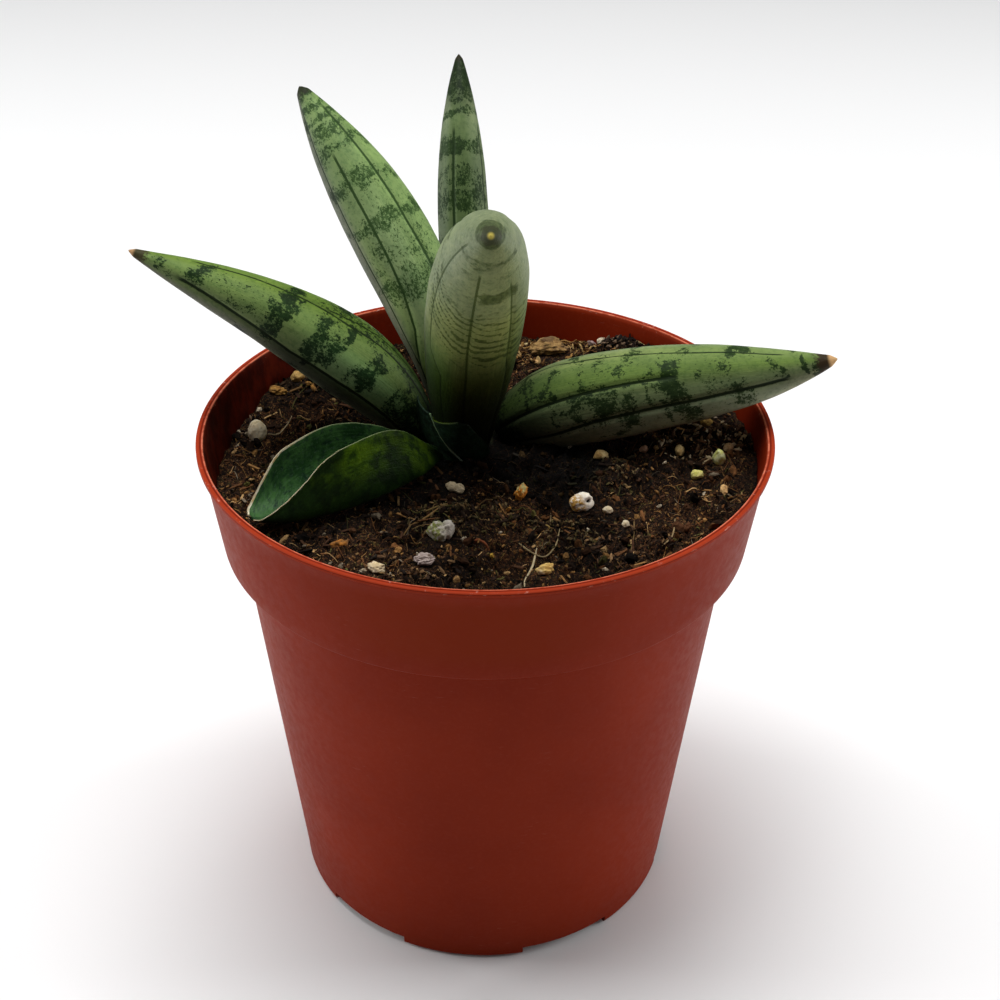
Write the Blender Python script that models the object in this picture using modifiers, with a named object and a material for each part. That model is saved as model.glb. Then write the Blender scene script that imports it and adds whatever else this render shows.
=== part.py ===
"""Young cylindrical snake plant growing in a thin-walled round nursery pot.

Units are metres, +Z up.  The origin is the centre of the pot's flat underside,
on the surface it stands on.  The fan of leaves grows a little behind the
middle of the pot; one leaf leans forward (-Y), one lies left (-X), one right
(+X), two stand behind, and a small folded first leaf rests on the potting mix
at the front left.
"""
import math
import random

import bmesh
import bpy
from mathutils import Euler, Matrix, Vector

MM = 0.001

# ---- driving dimensions, millimetres -------------------------------------
POT_HEIGHT = 96.9
RIM_RADIUS = 51.0          # outside of the rim lip
RIM_LIP_DEPTH = 0.8        # thickness of the lip flange
RIM_LAND = 1.3             # width of the rim's flat top
BAND_TOP_RADIUS = 50.2     # upper band, under the lip
BAND_FOOT_RADIUS = 47.7    # upper band, at its lower edge
BAND_HEIGHT = 19.6         # rim to the band's lower edge
WALL_TOP_RADIUS = 44.5     # tapered wall, under the band
WALL_FOOT_RADIUS = 36.6    # tapered wall, above the foot radius
FOOT_RADIUS = 35.9         # edge of the flat underside
FOOT_ROUND = 1.8
WALL = 1.0                 # moulded wall thickness
FLOOR = 1.6
POT_SEGMENTS = 72

NOTCH_CENTRES = (-129.0, -64.0, -5.0, 54.0, 113.0, 172.0)   # degrees
NOTCH_WIDTH = 18.0         # along the foot
NOTCH_HEIGHT = 2.0
NOTCH_INNER = 31.5         # radius where a notch ends in the floor

GAP = 0.3                  # clearance kept between neighbouring pieces

STEM_CENTRE = (-3.4, 12.2)
STEM_HALF_LENGTH = 12.6    # along X
STEM_HALF_WIDTH = 11.4     # along Y
STEM_FOOT_Z = 79.0
STEM_TOP_Z = 89.9

# Each leaf is a tapering rod on a cubic curve: where it leaves the stem, the
# two handles that bend it, and its tip; then its girth: radius at the base, at
# the belly and at the tip, where along its length the belly is, and how fast
# it draws in towards the tip.  Up to the fraction "buried" it is let into the
# stem and the mix.
LEAVES = {
    "leaf_left": dict(
        base=(-11.7, 9.4, 87.9), bend=(-20.4, 10.0, 107.1), reach=(-40.8, 8.7, 116.0), tip=(-62.2, 10.7, 125.2),
        base_r=3.4, belly_r=7.1, tip_r=0.5, belly_at=0.35, draw=1.6, buried=0.16, colour=(0.18, 0.27, 0.10)),
    "leaf_back_left": dict(
        base=(-5.3, 15.3, 88.3), bend=(-7.5, 17.2, 111.8), reach=(-21.2, 27.0, 127.9), tip=(-34.1, 38.5, 145.0),
        base_r=3.8, belly_r=7.3, tip_r=0.8, belly_at=0.51, draw=2.0, buried=0.16, colour=(0.20, 0.30, 0.15)),
    "leaf_back": dict(
        base=(0.4, 19.4, 86.6), bend=(-4.9, 32.6, 107.8), reach=(-4.8, 42.3, 128.4), tip=(-5.5, 59.7, 144.3),
        base_r=2.8, belly_r=4.9, tip_r=0.5, belly_at=0.49, draw=2.3, buried=0.16, colour=(0.17, 0.28, 0.12)),
    "leaf_front": dict(
        base=(-3.9, 6.6, 87.5), bend=(-3.6, -2.6, 114.3), reach=(0.3, -15.6, 141.4), tip=(0.6, -42.3, 151.7),
        base_r=4.2, belly_r=8.2, tip_r=0.5, belly_at=0.47, draw=2.25, buried=0.16, colour=(0.27, 0.33, 0.20)),
    "leaf_right": dict(
        base=(3.5, 11.9, 89.3), bend=(18.5, 8.3, 100.6), reach=(42.6, 4.0, 102.2), tip=(61.3, 0.9, 109.8),
        base_r=4.3, belly_r=8.0, tip_r=0.6, belly_at=0.24, draw=2.5, buried=0.5, colour=(0.18, 0.29, 0.12)),
}
LEAF_STATIONS = 18

# The small folded leaf: a boat-shaped sheet, keel down, resting on the mix.
FOLDED_BASE = (-8.4, 0.8)
FOLDED_TIP = (-38.9, -21.4)
FOLDED_DEPTH = 12.4        # keel to margins, at mid length
FOLDED_SPREAD = 8.6        # between the two margins, at mid length
FOLDED_THICKNESS = 1.5
FOLDED_LIFT = 2.0          # the tip turns up off the mix

# Loose grains on the mix: x, y, then length, width and height, and a turn about Z.
GRAINS = {
    "perlite_grain_01": (16.5, -15.2, 4.4, 3.6, 3.2, 20),
    "perlite_grain_02": (21.0, -16.6, 1.9, 1.6, 1.5, 0),
    "perlite_grain_03": (23.8, -20.6, 1.7, 1.5, 1.4, 50),
    "perlite_grain_04": (20.7, 0.3, 2.9, 2.2, 2.0, 10),
    "perlite_grain_05": (28.6, 1.9, 1.7, 1.5, 1.4, 0),
    "perlite_grain_06": (34.8, -0.2, 2.6, 1.8, 1.9, 70),
    "perlite_grain_07": (37.2, -7.4, 2.5, 2.0, 1.8, 15),
    "perlite_grain_08": (41.4, -4.0, 2.4, 2.2, 3.4, 0),
    "perlite_grain_09": (43.6, 0.2, 2.1, 1.9, 1.8, 40),
    "perlite_grain_10": (40.6, 8.6, 2.4, 2.0, 1.8, 0),
    "perlite_grain_11": (-5.3, -9.4, 3.9, 2.0, 1.9, -25),
    "perlite_grain_12": (-42.2, 9.2, 3.6, 3.9, 2.9, 20),
    "perlite_grain_13": (-36.6, 28.0, 2.6, 2.8, 2.4, 35),
    "bark_chip_01": (6.1, -11.0, 3.6, 2.2, 2.4, 65),
    "bark_chip_02": (-10.0, -30.8, 3.6, 2.8, 2.2, 10),
    "bark_chip_03": (9.6, -33.6, 3.3, 2.4, 1.9, 15),
    "bark_chip_04": (-17.9, -32.6, 3.2, 2.2, 1.8, -10),
    "bark_chip_05": (-39.8, 23.2, 4.4, 2.2, 1.9, -15),
    "bark_chip_06": (12.4, 37.0, 8.2, 5.4, 3.4, 10),
    "pumice_chunk": (-7.4, -23.4, 4.6, 3.8, 3.8, 30),
}


def mix_height(x, y):
    """Height of the potting mix's top at a place, all in millimetres."""
    heap_back = 3.3 * math.exp(-((x - 31) ** 2 + (y - 34) ** 2) / (2 * 11.5 ** 2))
    heap_right = 2.0 * math.exp(-((x - 50) ** 2 + (y - 6) ** 2) / (2 * 13.0 ** 2))
    heap_left = 1.2 * math.exp(-((x + 36) ** 2 + (y - 28) ** 2) / (2 * 11.0 ** 2))
    return 88.2 + 0.02 * x + 0.02 * y + heap_back + heap_right + heap_left


# ---- scene ----------------------------------------------------------------
for old in list(bpy.data.objects):
    bpy.data.objects.remove(old, do_unlink=True)

plant = bpy.data.collections.new("potted_cylindrical_snake_plant")
bpy.context.scene.collection.children.link(plant)
cutters = bpy.data.collections.new("cutters")
bpy.context.scene.collection.children.link(cutters)


def material(name, colour, roughness, metallic=0.0):
    mat = bpy.data.materials.new(name)
    mat.use_nodes = True
    shader = mat.node_tree.nodes["Principled BSDF"]
    shader.inputs["Base Color"].default_value = (*colour, 1.0)
    shader.inputs["Roughness"].default_value = roughness
    shader.inputs["Metallic"].default_value = metallic
    mat.diffuse_color = (*colour, 1.0)
    return mat


POT_PLASTIC = material("terracotta_plastic", (0.30, 0.055, 0.028), 0.5)
MIX = material("peat_mix", (0.035, 0.022, 0.014), 0.95)
STEM = material("stem_tissue", (0.10, 0.12, 0.045), 0.7)
FOLDED = material("folded_leaf_green", (0.03, 0.10, 0.03), 0.4)
PERLITE = material("perlite", (0.62, 0.55, 0.42), 0.9)
BARK = material("bark", (0.30, 0.17, 0.07), 0.9)
PUMICE = material("pumice", (0.32, 0.34, 0.22), 0.9)


def add(obj, collection, mat=None):
    collection.objects.link(obj)
    if mat:
        obj.data.materials.append(mat)
    return obj


def cutter(obj):
    obj.hide_render = True
    obj.display_type = 'WIRE'
    return add(obj, cutters)


def solid_of(obj, name):
    """A mesh object made from an object's evaluated shape, its caps welded."""
    bpy.context.view_layer.update()
    seen = obj.evaluated_get(bpy.context.evaluated_depsgraph_get())
    mesh = bpy.data.meshes.new_from_object(seen)
    bm = bmesh.new()
    bm.from_mesh(mesh)
    bmesh.ops.remove_doubles(bm, verts=bm.verts, dist=0.00001)
    bmesh.ops.recalc_face_normals(bm, faces=bm.faces)
    bm.to_mesh(mesh)
    bm.free()
    made = bpy.data.objects.new(name, mesh)
    made.matrix_world = obj.matrix_world.copy()
    bpy.data.objects.remove(obj, do_unlink=True)
    return made


def turned(name, profile, steps):
    """A profile of (radius, height) in millimetres, turned about Z."""
    mesh = bpy.data.meshes.new(name)
    points = [Vector((r * MM, 0.0, z * MM)) for r, z in profile]
    mesh.from_pydata(points, [(i, i + 1) for i in range(len(points) - 1)], [])
    obj = bpy.data.objects.new(name, mesh)
    screw = obj.modifiers.new("turn", 'SCREW')
    screw.axis = 'Z'
    screw.angle = math.tau
    screw.steps = steps
    screw.render_steps = steps
    screw.use_merge_vertices = True
    screw.merge_threshold = 0.00001
    screw.use_smooth_shade = True
    return obj


def boolean(obj, other):
    mod = obj.modifiers.new("cut", 'BOOLEAN')
    mod.operation = 'DIFFERENCE'
    mod.solver = 'EXACT'
    mod.object = other
    return mod


# ---- pot --------------------------------------------------------------------
def wall_outside(z):
    """Outer radius of the tapered wall at a height, millimetres."""
    top = POT_HEIGHT - BAND_HEIGHT
    return WALL_FOOT_RADIUS + (WALL_TOP_RADIUS - WALL_FOOT_RADIUS) * (z - FOOT_ROUND) / (top - FOOT_ROUND)


def band_outside(z):
    low = POT_HEIGHT - BAND_HEIGHT
    return BAND_FOOT_RADIUS + (BAND_TOP_RADIUS - BAND_FOOT_RADIUS) * (z - low) / (BAND_HEIGHT - RIM_LIP_DEPTH)


LEDGE_Z = POT_HEIGHT - BAND_HEIGHT
INNER_FOOT = wall_outside(FLOOR + 1.2) - WALL
INNER_STEP_LOW = wall_outside(LEDGE_Z) - WALL
INNER_STEP_HIGH = band_outside(LEDGE_Z + 1.6) - WALL
INNER_RIM = RIM_RADIUS - RIM_LAND

pot_profile = [
    (0.0, FLOOR),
    (INNER_FOOT - 1.0, FLOOR),
    (INNER_FOOT, FLOOR + 1.2),
    (INNER_STEP_LOW, LEDGE_Z + 0.9),
    (INNER_STEP_HIGH - 0.5, LEDGE_Z + 1.1),
    (INNER_STEP_HIGH, LEDGE_Z + 1.8),
    (INNER_RIM - 0.3, POT_HEIGHT - 1.4),
    (INNER_RIM, POT_HEIGHT - 0.2),
    (INNER_RIM + 0.2, POT_HEIGHT),
    (RIM_RADIUS - 0.25, POT_HEIGHT),
    (RIM_RADIUS, POT_HEIGHT - 0.2),
    (RIM_RADIUS, POT_HEIGHT - RIM_LIP_DEPTH + 0.15),
    (RIM_RADIUS - 0.15, POT_HEIGHT - RIM_LIP_DEPTH),
    (BAND_TOP_RADIUS, POT_HEIGHT - RIM_LIP_DEPTH - 0.1),
    (band_outside(LEDGE_Z + 0.5), LEDGE_Z + 0.5),
    (BAND_FOOT_RADIUS - 0.5, LEDGE_Z),
    (WALL_TOP_RADIUS + 0.3, LEDGE_Z - 0.1),
    (wall_outside(LEDGE_Z - 0.6), LEDGE_Z - 0.6),
    (WALL_FOOT_RADIUS, FOOT_ROUND),
    (WALL_FOOT_RADIUS - 0.2, FOOT_ROUND * 0.35),
    (FOOT_RADIUS, 0.0),
    (0.0, 0.0),
]
pot = add(turned("nursery_pot", pot_profile, POT_SEGMENTS), plant, POT_PLASTIC)

# Drainage notches round the foot, one block each, joined into one cutter.
blocks = bmesh.new()
for azimuth in NOTCH_CENTRES:
    length = 9.0
    made = bmesh.ops.create_cube(blocks, size=1.0)["verts"]
    shape = Matrix.Diagonal((length * MM, NOTCH_WIDTH * MM, (NOTCH_HEIGHT + 2.0) * MM, 1.0))
    place = Matrix.Rotation(math.radians(azimuth), 4, 'Z') @ Matrix.Translation(
        ((NOTCH_INNER + length / 2) * MM, 0.0, (NOTCH_HEIGHT - 2.0) / 2 * MM))
    bmesh.ops.transform(blocks, matrix=place @ shape, verts=made)
block_mesh = bpy.data.meshes.new("notch_blocks")
blocks.to_mesh(block_mesh)
blocks.free()
notches = cutter(bpy.data.objects.new("notch_blocks", block_mesh))
boolean(pot, notches)


# ---- stem -------------------------------------------------------------------
def stem_shape(name, grow):
    """The short stem's turned body, grown by a clearance on every side."""
    long_r = STEM_HALF_LENGTH + grow
    profile = [(0.0, STEM_TOP_Z + grow)]
    for part in (0.35, 0.62, 0.84, 0.96):
        profile.append((long_r * part, STEM_TOP_Z + grow - 3.0 * part ** 2))
    profile += [(long_r, STEM_TOP_Z - 3.6), (long_r, STEM_TOP_Z - 6.0),
                (long_r * 0.72, STEM_FOOT_Z - grow), (0.0, STEM_FOOT_Z - grow)]
    body = solid_of(add(turned(name + "_turned", profile, 36), cutters), name)
    flat = Matrix.Diagonal((1.0, (STEM_HALF_WIDTH + grow) / long_r, 1.0, 1.0))
    body.data.transform(flat)
    body.location = (STEM_CENTRE[0] * MM, STEM_CENTRE[1] * MM, 0.0)
    return body


stem = add(stem_shape("stem_base", 0.0), plant, STEM)


# ---- leaves -------------------------------------------------------------------
def leaf_point(leaf, t):
    a, b, c, d = (Vector(leaf[k]) for k in ("base", "bend", "reach", "tip"))
    return (1 - t) ** 3 * a + 3 * (1 - t) ** 2 * t * b + 3 * (1 - t) * t * t * c + t ** 3 * d


def leaf_radius(leaf, s):
    """Girth rule: swells from the base to the belly, then draws in to the tip."""
    if s < leaf["belly_at"]:
        return leaf["base_r"] + (leaf["belly_r"] - leaf["base_r"]) * math.sin(math.pi / 2 * s / leaf["belly_at"])
    u = (s - leaf["belly_at"]) / (1 - leaf["belly_at"])
    return leaf["tip_r"] + (leaf["belly_r"] - leaf["tip_r"]) * (1 - u ** leaf["draw"])


def leaf_curve(name, leaf, last=1.0, grow=0.0, sink=0.0):
    """The leaf as a bevelled curve, from its base to the fraction last."""
    fine = [leaf_point(leaf, i / 400) for i in range(401)]
    run = [0.0]
    for p, q in zip(fine, fine[1:]):
        run.append(run[-1] + (q - p).length)
    total = run[-1]
    if last == 1.0:
        stations = [(i / (LEAF_STATIONS - 1)) ** 0.92 for i in range(LEAF_STATIONS)]
    else:
        count = max(3, round(LEAF_STATIONS * last))
        stations = [last * i / (count - 1) for i in range(count)]
    points = []
    for s in stations:
        k = min(range(401), key=lambda i: abs(run[i] / total - s))
        points.append((fine[k], leaf_radius(leaf, s) + grow))
    if sink:
        away = (points[0][0] - points[1][0]).normalized()
        points.insert(0, (points[0][0] + away * sink, points[0][1]))
    curve = bpy.data.curves.new(name, 'CURVE')
    curve.dimensions = '3D'
    curve.bevel_depth = MM
    curve.bevel_resolution = 4
    curve.use_fill_caps = True
    spline = curve.splines.new('POLY')
    spline.points.add(len(points) - 1)
    for slot, (place, radius) in zip(spline.points, points):
        slot.co = (*(place * MM), 1.0)
        slot.radius = radius
    spline.use_smooth = True
    return bpy.data.objects.new(name, curve)


sockets = {}
for leaf_name, leaf in LEAVES.items():
    add(leaf_curve(leaf_name, leaf), plant, material(leaf_name + "_skin", leaf["colour"], 0.45))
    socket = solid_of(add(leaf_curve(leaf_name + "_socket", leaf, last=leaf["buried"], grow=GAP + 0.1, sink=GAP + 0.1),
                          cutters), leaf_name + "_socket")
    boolean(stem, cutter(socket))
    sockets[leaf_name] = socket


# ---- small folded leaf ----------------------------------------------------------
def folded_leaf():
    """A boat-shaped sheet: each station is a half round from margin to margin."""
    start, end = Vector((*FOLDED_BASE, 0)), Vector((*FOLDED_TIP, 0))
    ahead = (end - start).normalized()
    front = Vector((-ahead.y, ahead.x, 0)) * -1.0
    if front.y > 0:
        front = -front
    stations, across = 13, 8
    bm = bmesh.new()
    rows = []
    for i in range(stations):
        f = i / (stations - 1)
        swell = max(0.0, math.sin(math.pi * (0.03 + 0.945 * f) ** 0.95))
        depth = 1.2 + (FOLDED_DEPTH - 1.2) * swell ** 0.8
        spread = 1.4 + (FOLDED_SPREAD - 1.4) * swell ** 0.8
        middle = start.lerp(end, f) + front * (2.2 * math.sin(math.pi * f))
        lift = FOLDED_LIFT * max(0.0, (f - 0.7) / 0.3) ** 2
        ground = mix_height(middle.x, middle.y) + GAP + FOLDED_THICKNESS + 0.35 + lift
        row = []
        for j in range(across + 1):
            a = math.pi * j / across
            side = math.cos(a)
            drop = math.sin(a) ** 0.7
            p = middle + front * (spread / 2 * side) + Vector((0, 0, ground + depth * (1 - drop)))
            row.append(bm.verts.new(p * MM))
        rows.append(row)
    for r0, r1 in zip(rows, rows[1:]):
        for j in range(across):
            bm.faces.new((r0[j], r0[j + 1], r1[j + 1], r1[j]))
    bmesh.ops.recalc_face_normals(bm, faces=bm.faces)
    mesh = bpy.data.meshes.new("leaf_folded")
    bm.to_mesh(mesh)
    bm.free()
    mesh.shade_smooth()
    obj = bpy.data.objects.new("leaf_folded", mesh)
    thick = obj.modifiers.new("thickness", 'SOLIDIFY')
    thick.thickness = FOLDED_THICKNESS * MM
    thick.offset = 0.0
    thick.use_even_offset = False
    return obj


add(folded_leaf(), plant, FOLDED)


# ---- potting mix ------------------------------------------------------------------
def mix_body():
    edge = 1.6 + GAP
    profile = [
        (0.0, 88.2), (10.0, 88.2), (20.0, 88.2), (30.0, 88.2), (39.0, 88.2),
        (band_outside(88.2) - WALL - GAP - 0.1, 88.2),
        (INNER_STEP_HIGH - GAP - 0.1, LEDGE_Z + 2.2),
        (INNER_STEP_HIGH - 0.7 - GAP, LEDGE_Z + 1.5),
        (INNER_STEP_LOW - GAP - 0.2, LEDGE_Z + 1.1),
        (INNER_FOOT - GAP - 0.1, edge + 1.3),
        (INNER_FOOT - 1.3 - GAP, edge),
        (0.0, edge),
    ]
    body = solid_of(add(turned("mix_turned", profile, 48), cutters), "potting_mix")
    for v in body.data.vertices:
        if v.co.z > 88.0 * MM:
            x, y = v.co.x / MM, v.co.y / MM
            z = mix_height(x, y)
            reach = math.hypot(x, y)
            if reach > 44.0:           # the heaps lean on the wall, so the edge follows its taper
                wide = band_outside(z) - WALL - GAP - 0.1
                x, y = x * wide / reach, y * wide / reach
            v.co = Vector((x, y, z)) * MM
    body.data.shade_smooth()
    return body


mix = add(mix_body(), plant, MIX)
pocket = stem_shape("stem_pocket", GAP)
boolean(mix, cutter(pocket))
for leaf_name in ("leaf_back", "leaf_front", "leaf_left", "leaf_right"):
    boolean(mix, sockets[leaf_name])


# ---- loose grains ---------------------------------------------------------------
def grain(name, place):
    x, y, length, width, height, turn = place
    dice = random.Random(name)
    bm = bmesh.new()
    bmesh.ops.create_icosphere(bm, subdivisions=2 if length > 2.0 else 1, radius=0.5)
    for v in bm.verts:
        v.co *= 1.0 + dice.uniform(-0.11, 0.06)
    shape = Matrix.Diagonal((length * MM, width * MM, height * MM, 1.0))
    bmesh.ops.transform(bm, matrix=shape, verts=bm.verts)
    mesh = bpy.data.meshes.new(name)
    bm.to_mesh(mesh)
    bm.free()
    obj = bpy.data.objects.new(name, mesh)
    obj.rotation_euler = Euler((0.0, 0.0, math.radians(turn)))
    around = max(mix_height(x + dx, y + dy) for dx in (-length / 2, 0, length / 2) for dy in (-length / 2, 0, length / 2))
    obj.location = (x * MM, y * MM, (around + GAP + 0.05 + height * 0.53) * MM)
    return obj


for grain_name, place in GRAINS.items():
    kind = PUMICE if grain_name.startswith("pumice") else BARK if grain_name.startswith("bark") else PERLITE
    add(grain(grain_name, place), plant, kind)
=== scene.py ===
import math
import random

import bmesh
import bpy
import numpy as np
from mathutils import Matrix, Vector


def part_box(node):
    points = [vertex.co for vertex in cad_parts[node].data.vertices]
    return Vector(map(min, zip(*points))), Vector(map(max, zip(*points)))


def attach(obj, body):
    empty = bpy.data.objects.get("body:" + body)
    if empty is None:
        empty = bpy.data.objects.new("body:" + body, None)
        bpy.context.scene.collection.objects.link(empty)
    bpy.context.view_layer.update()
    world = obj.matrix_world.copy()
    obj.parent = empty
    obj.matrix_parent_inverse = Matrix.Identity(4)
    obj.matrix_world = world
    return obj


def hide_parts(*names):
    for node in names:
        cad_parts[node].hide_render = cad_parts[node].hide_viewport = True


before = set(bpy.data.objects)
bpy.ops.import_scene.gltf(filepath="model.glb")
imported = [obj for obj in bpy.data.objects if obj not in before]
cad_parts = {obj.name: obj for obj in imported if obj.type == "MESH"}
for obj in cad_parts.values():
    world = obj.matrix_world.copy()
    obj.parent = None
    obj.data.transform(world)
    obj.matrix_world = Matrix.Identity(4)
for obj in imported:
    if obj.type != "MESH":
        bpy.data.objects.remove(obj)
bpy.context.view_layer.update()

MM = 0.001
rng = np.random.default_rng(20489)


# ---- noise ------------------------------------------------------------------
def hash01(ix, iy, iz, seed):
    """A repeatable number from 0 to 1 for each whole-number lattice point."""
    with np.errstate(over="ignore"):
        h = (ix.astype(np.uint32) * np.uint32(374761393)
             + iy.astype(np.uint32) * np.uint32(668265263)
             + iz.astype(np.uint32) * np.uint32(2246822519)
             + np.uint32((seed * 3266489917) & 0xFFFFFFFF))
        h = (h ^ (h >> np.uint32(13))) * np.uint32(1274126177)
        h = h ^ (h >> np.uint32(16))
    return (h & np.uint32(0xFFFFFF)).astype(float) / float(0x1000000)


def noise3(p, scale, seed=0):
    """Smooth noise from 0 to 1 at points p (N, 3)."""
    q = np.asarray(p, float) * scale + 1000.5
    i = np.floor(q).astype(np.int64)
    f = q - i
    u = f * f * f * (f * (f * 6 - 15) + 10)
    total = np.zeros(len(q))
    for dx in (0, 1):
        wx = u[:, 0] if dx else 1 - u[:, 0]
        for dy in (0, 1):
            wy = u[:, 1] if dy else 1 - u[:, 1]
            for dz in (0, 1):
                wz = u[:, 2] if dz else 1 - u[:, 2]
                total += wx * wy * wz * hash01(i[:, 0] + dx, i[:, 1] + dy, i[:, 2] + dz, seed)
    return total


def fbm(p, scale, octaves, seed=0, gain=0.5):
    total, norm, amp = 0.0, 0.0, 1.0
    for k in range(octaves):
        total = total + amp * noise3(p, scale * 2.03 ** k, seed + 17 * k)
        norm += amp
        amp *= gain
    return total / norm


def smoothstep(a, b, x):
    t = np.clip((x - a) / (b - a), 0.0, 1.0)
    return t * t * (3 - 2 * t)


# ---- mesh helpers -------------------------------------------------------------
def make_mesh(name, verts, faces, mat=None, smooth=True):
    """A mesh object from vertices in millimetres and faces of corner numbers."""
    mesh = bpy.data.meshes.new(name)
    mesh.from_pydata([tuple(v) for v in (np.asarray(verts, float) * MM)], [], [tuple(f) for f in faces])
    if smooth:
        mesh.polygons.foreach_set("use_smooth", np.ones(len(mesh.polygons), bool))
    mesh.update()
    obj = bpy.data.objects.new(name, mesh)
    bpy.context.scene.collection.objects.link(obj)
    if mat:
        mesh.materials.append(mat)
    return obj


def point_floats(obj, name, values):
    layer = obj.data.attributes.new(name, 'FLOAT', 'POINT')
    layer.data.foreach_set("value", np.asarray(values, np.float32).ravel())


def point_vectors(obj, name, values):
    layer = obj.data.attributes.new(name, 'FLOAT_VECTOR', 'POINT')
    layer.data.foreach_set("vector", np.asarray(values, np.float32).ravel())


def point_colours(obj, name, values):
    layer = obj.data.attributes.new(name, 'FLOAT_COLOR', 'POINT')
    rgba = np.ones((len(values), 4), np.float32)
    rgba[:, :3] = values
    layer.data.foreach_set("color", rgba.ravel())


def grid_faces(rows, cols, wrap=True):
    """Quads of a rows x cols grid of vertices, closed round the columns."""
    faces = []
    last = cols if wrap else cols - 1
    for i in range(rows - 1):
        a = i * cols
        b = a + cols
        for j in range(last):
            k = (j + 1) % cols
            faces.append((a + j, a + k, b + k, b + j))
    return faces


def facing_out(obj):
    bm = bmesh.new()
    bm.from_mesh(obj.data)
    bmesh.ops.recalc_face_normals(bm, faces=bm.faces)
    bm.to_mesh(obj.data)
    bm.free()
    obj.data.update()


def place(obj, node):
    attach(obj, "root")
    if node:
        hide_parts(*([node] if isinstance(node, str) else node))
    return obj


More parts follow.
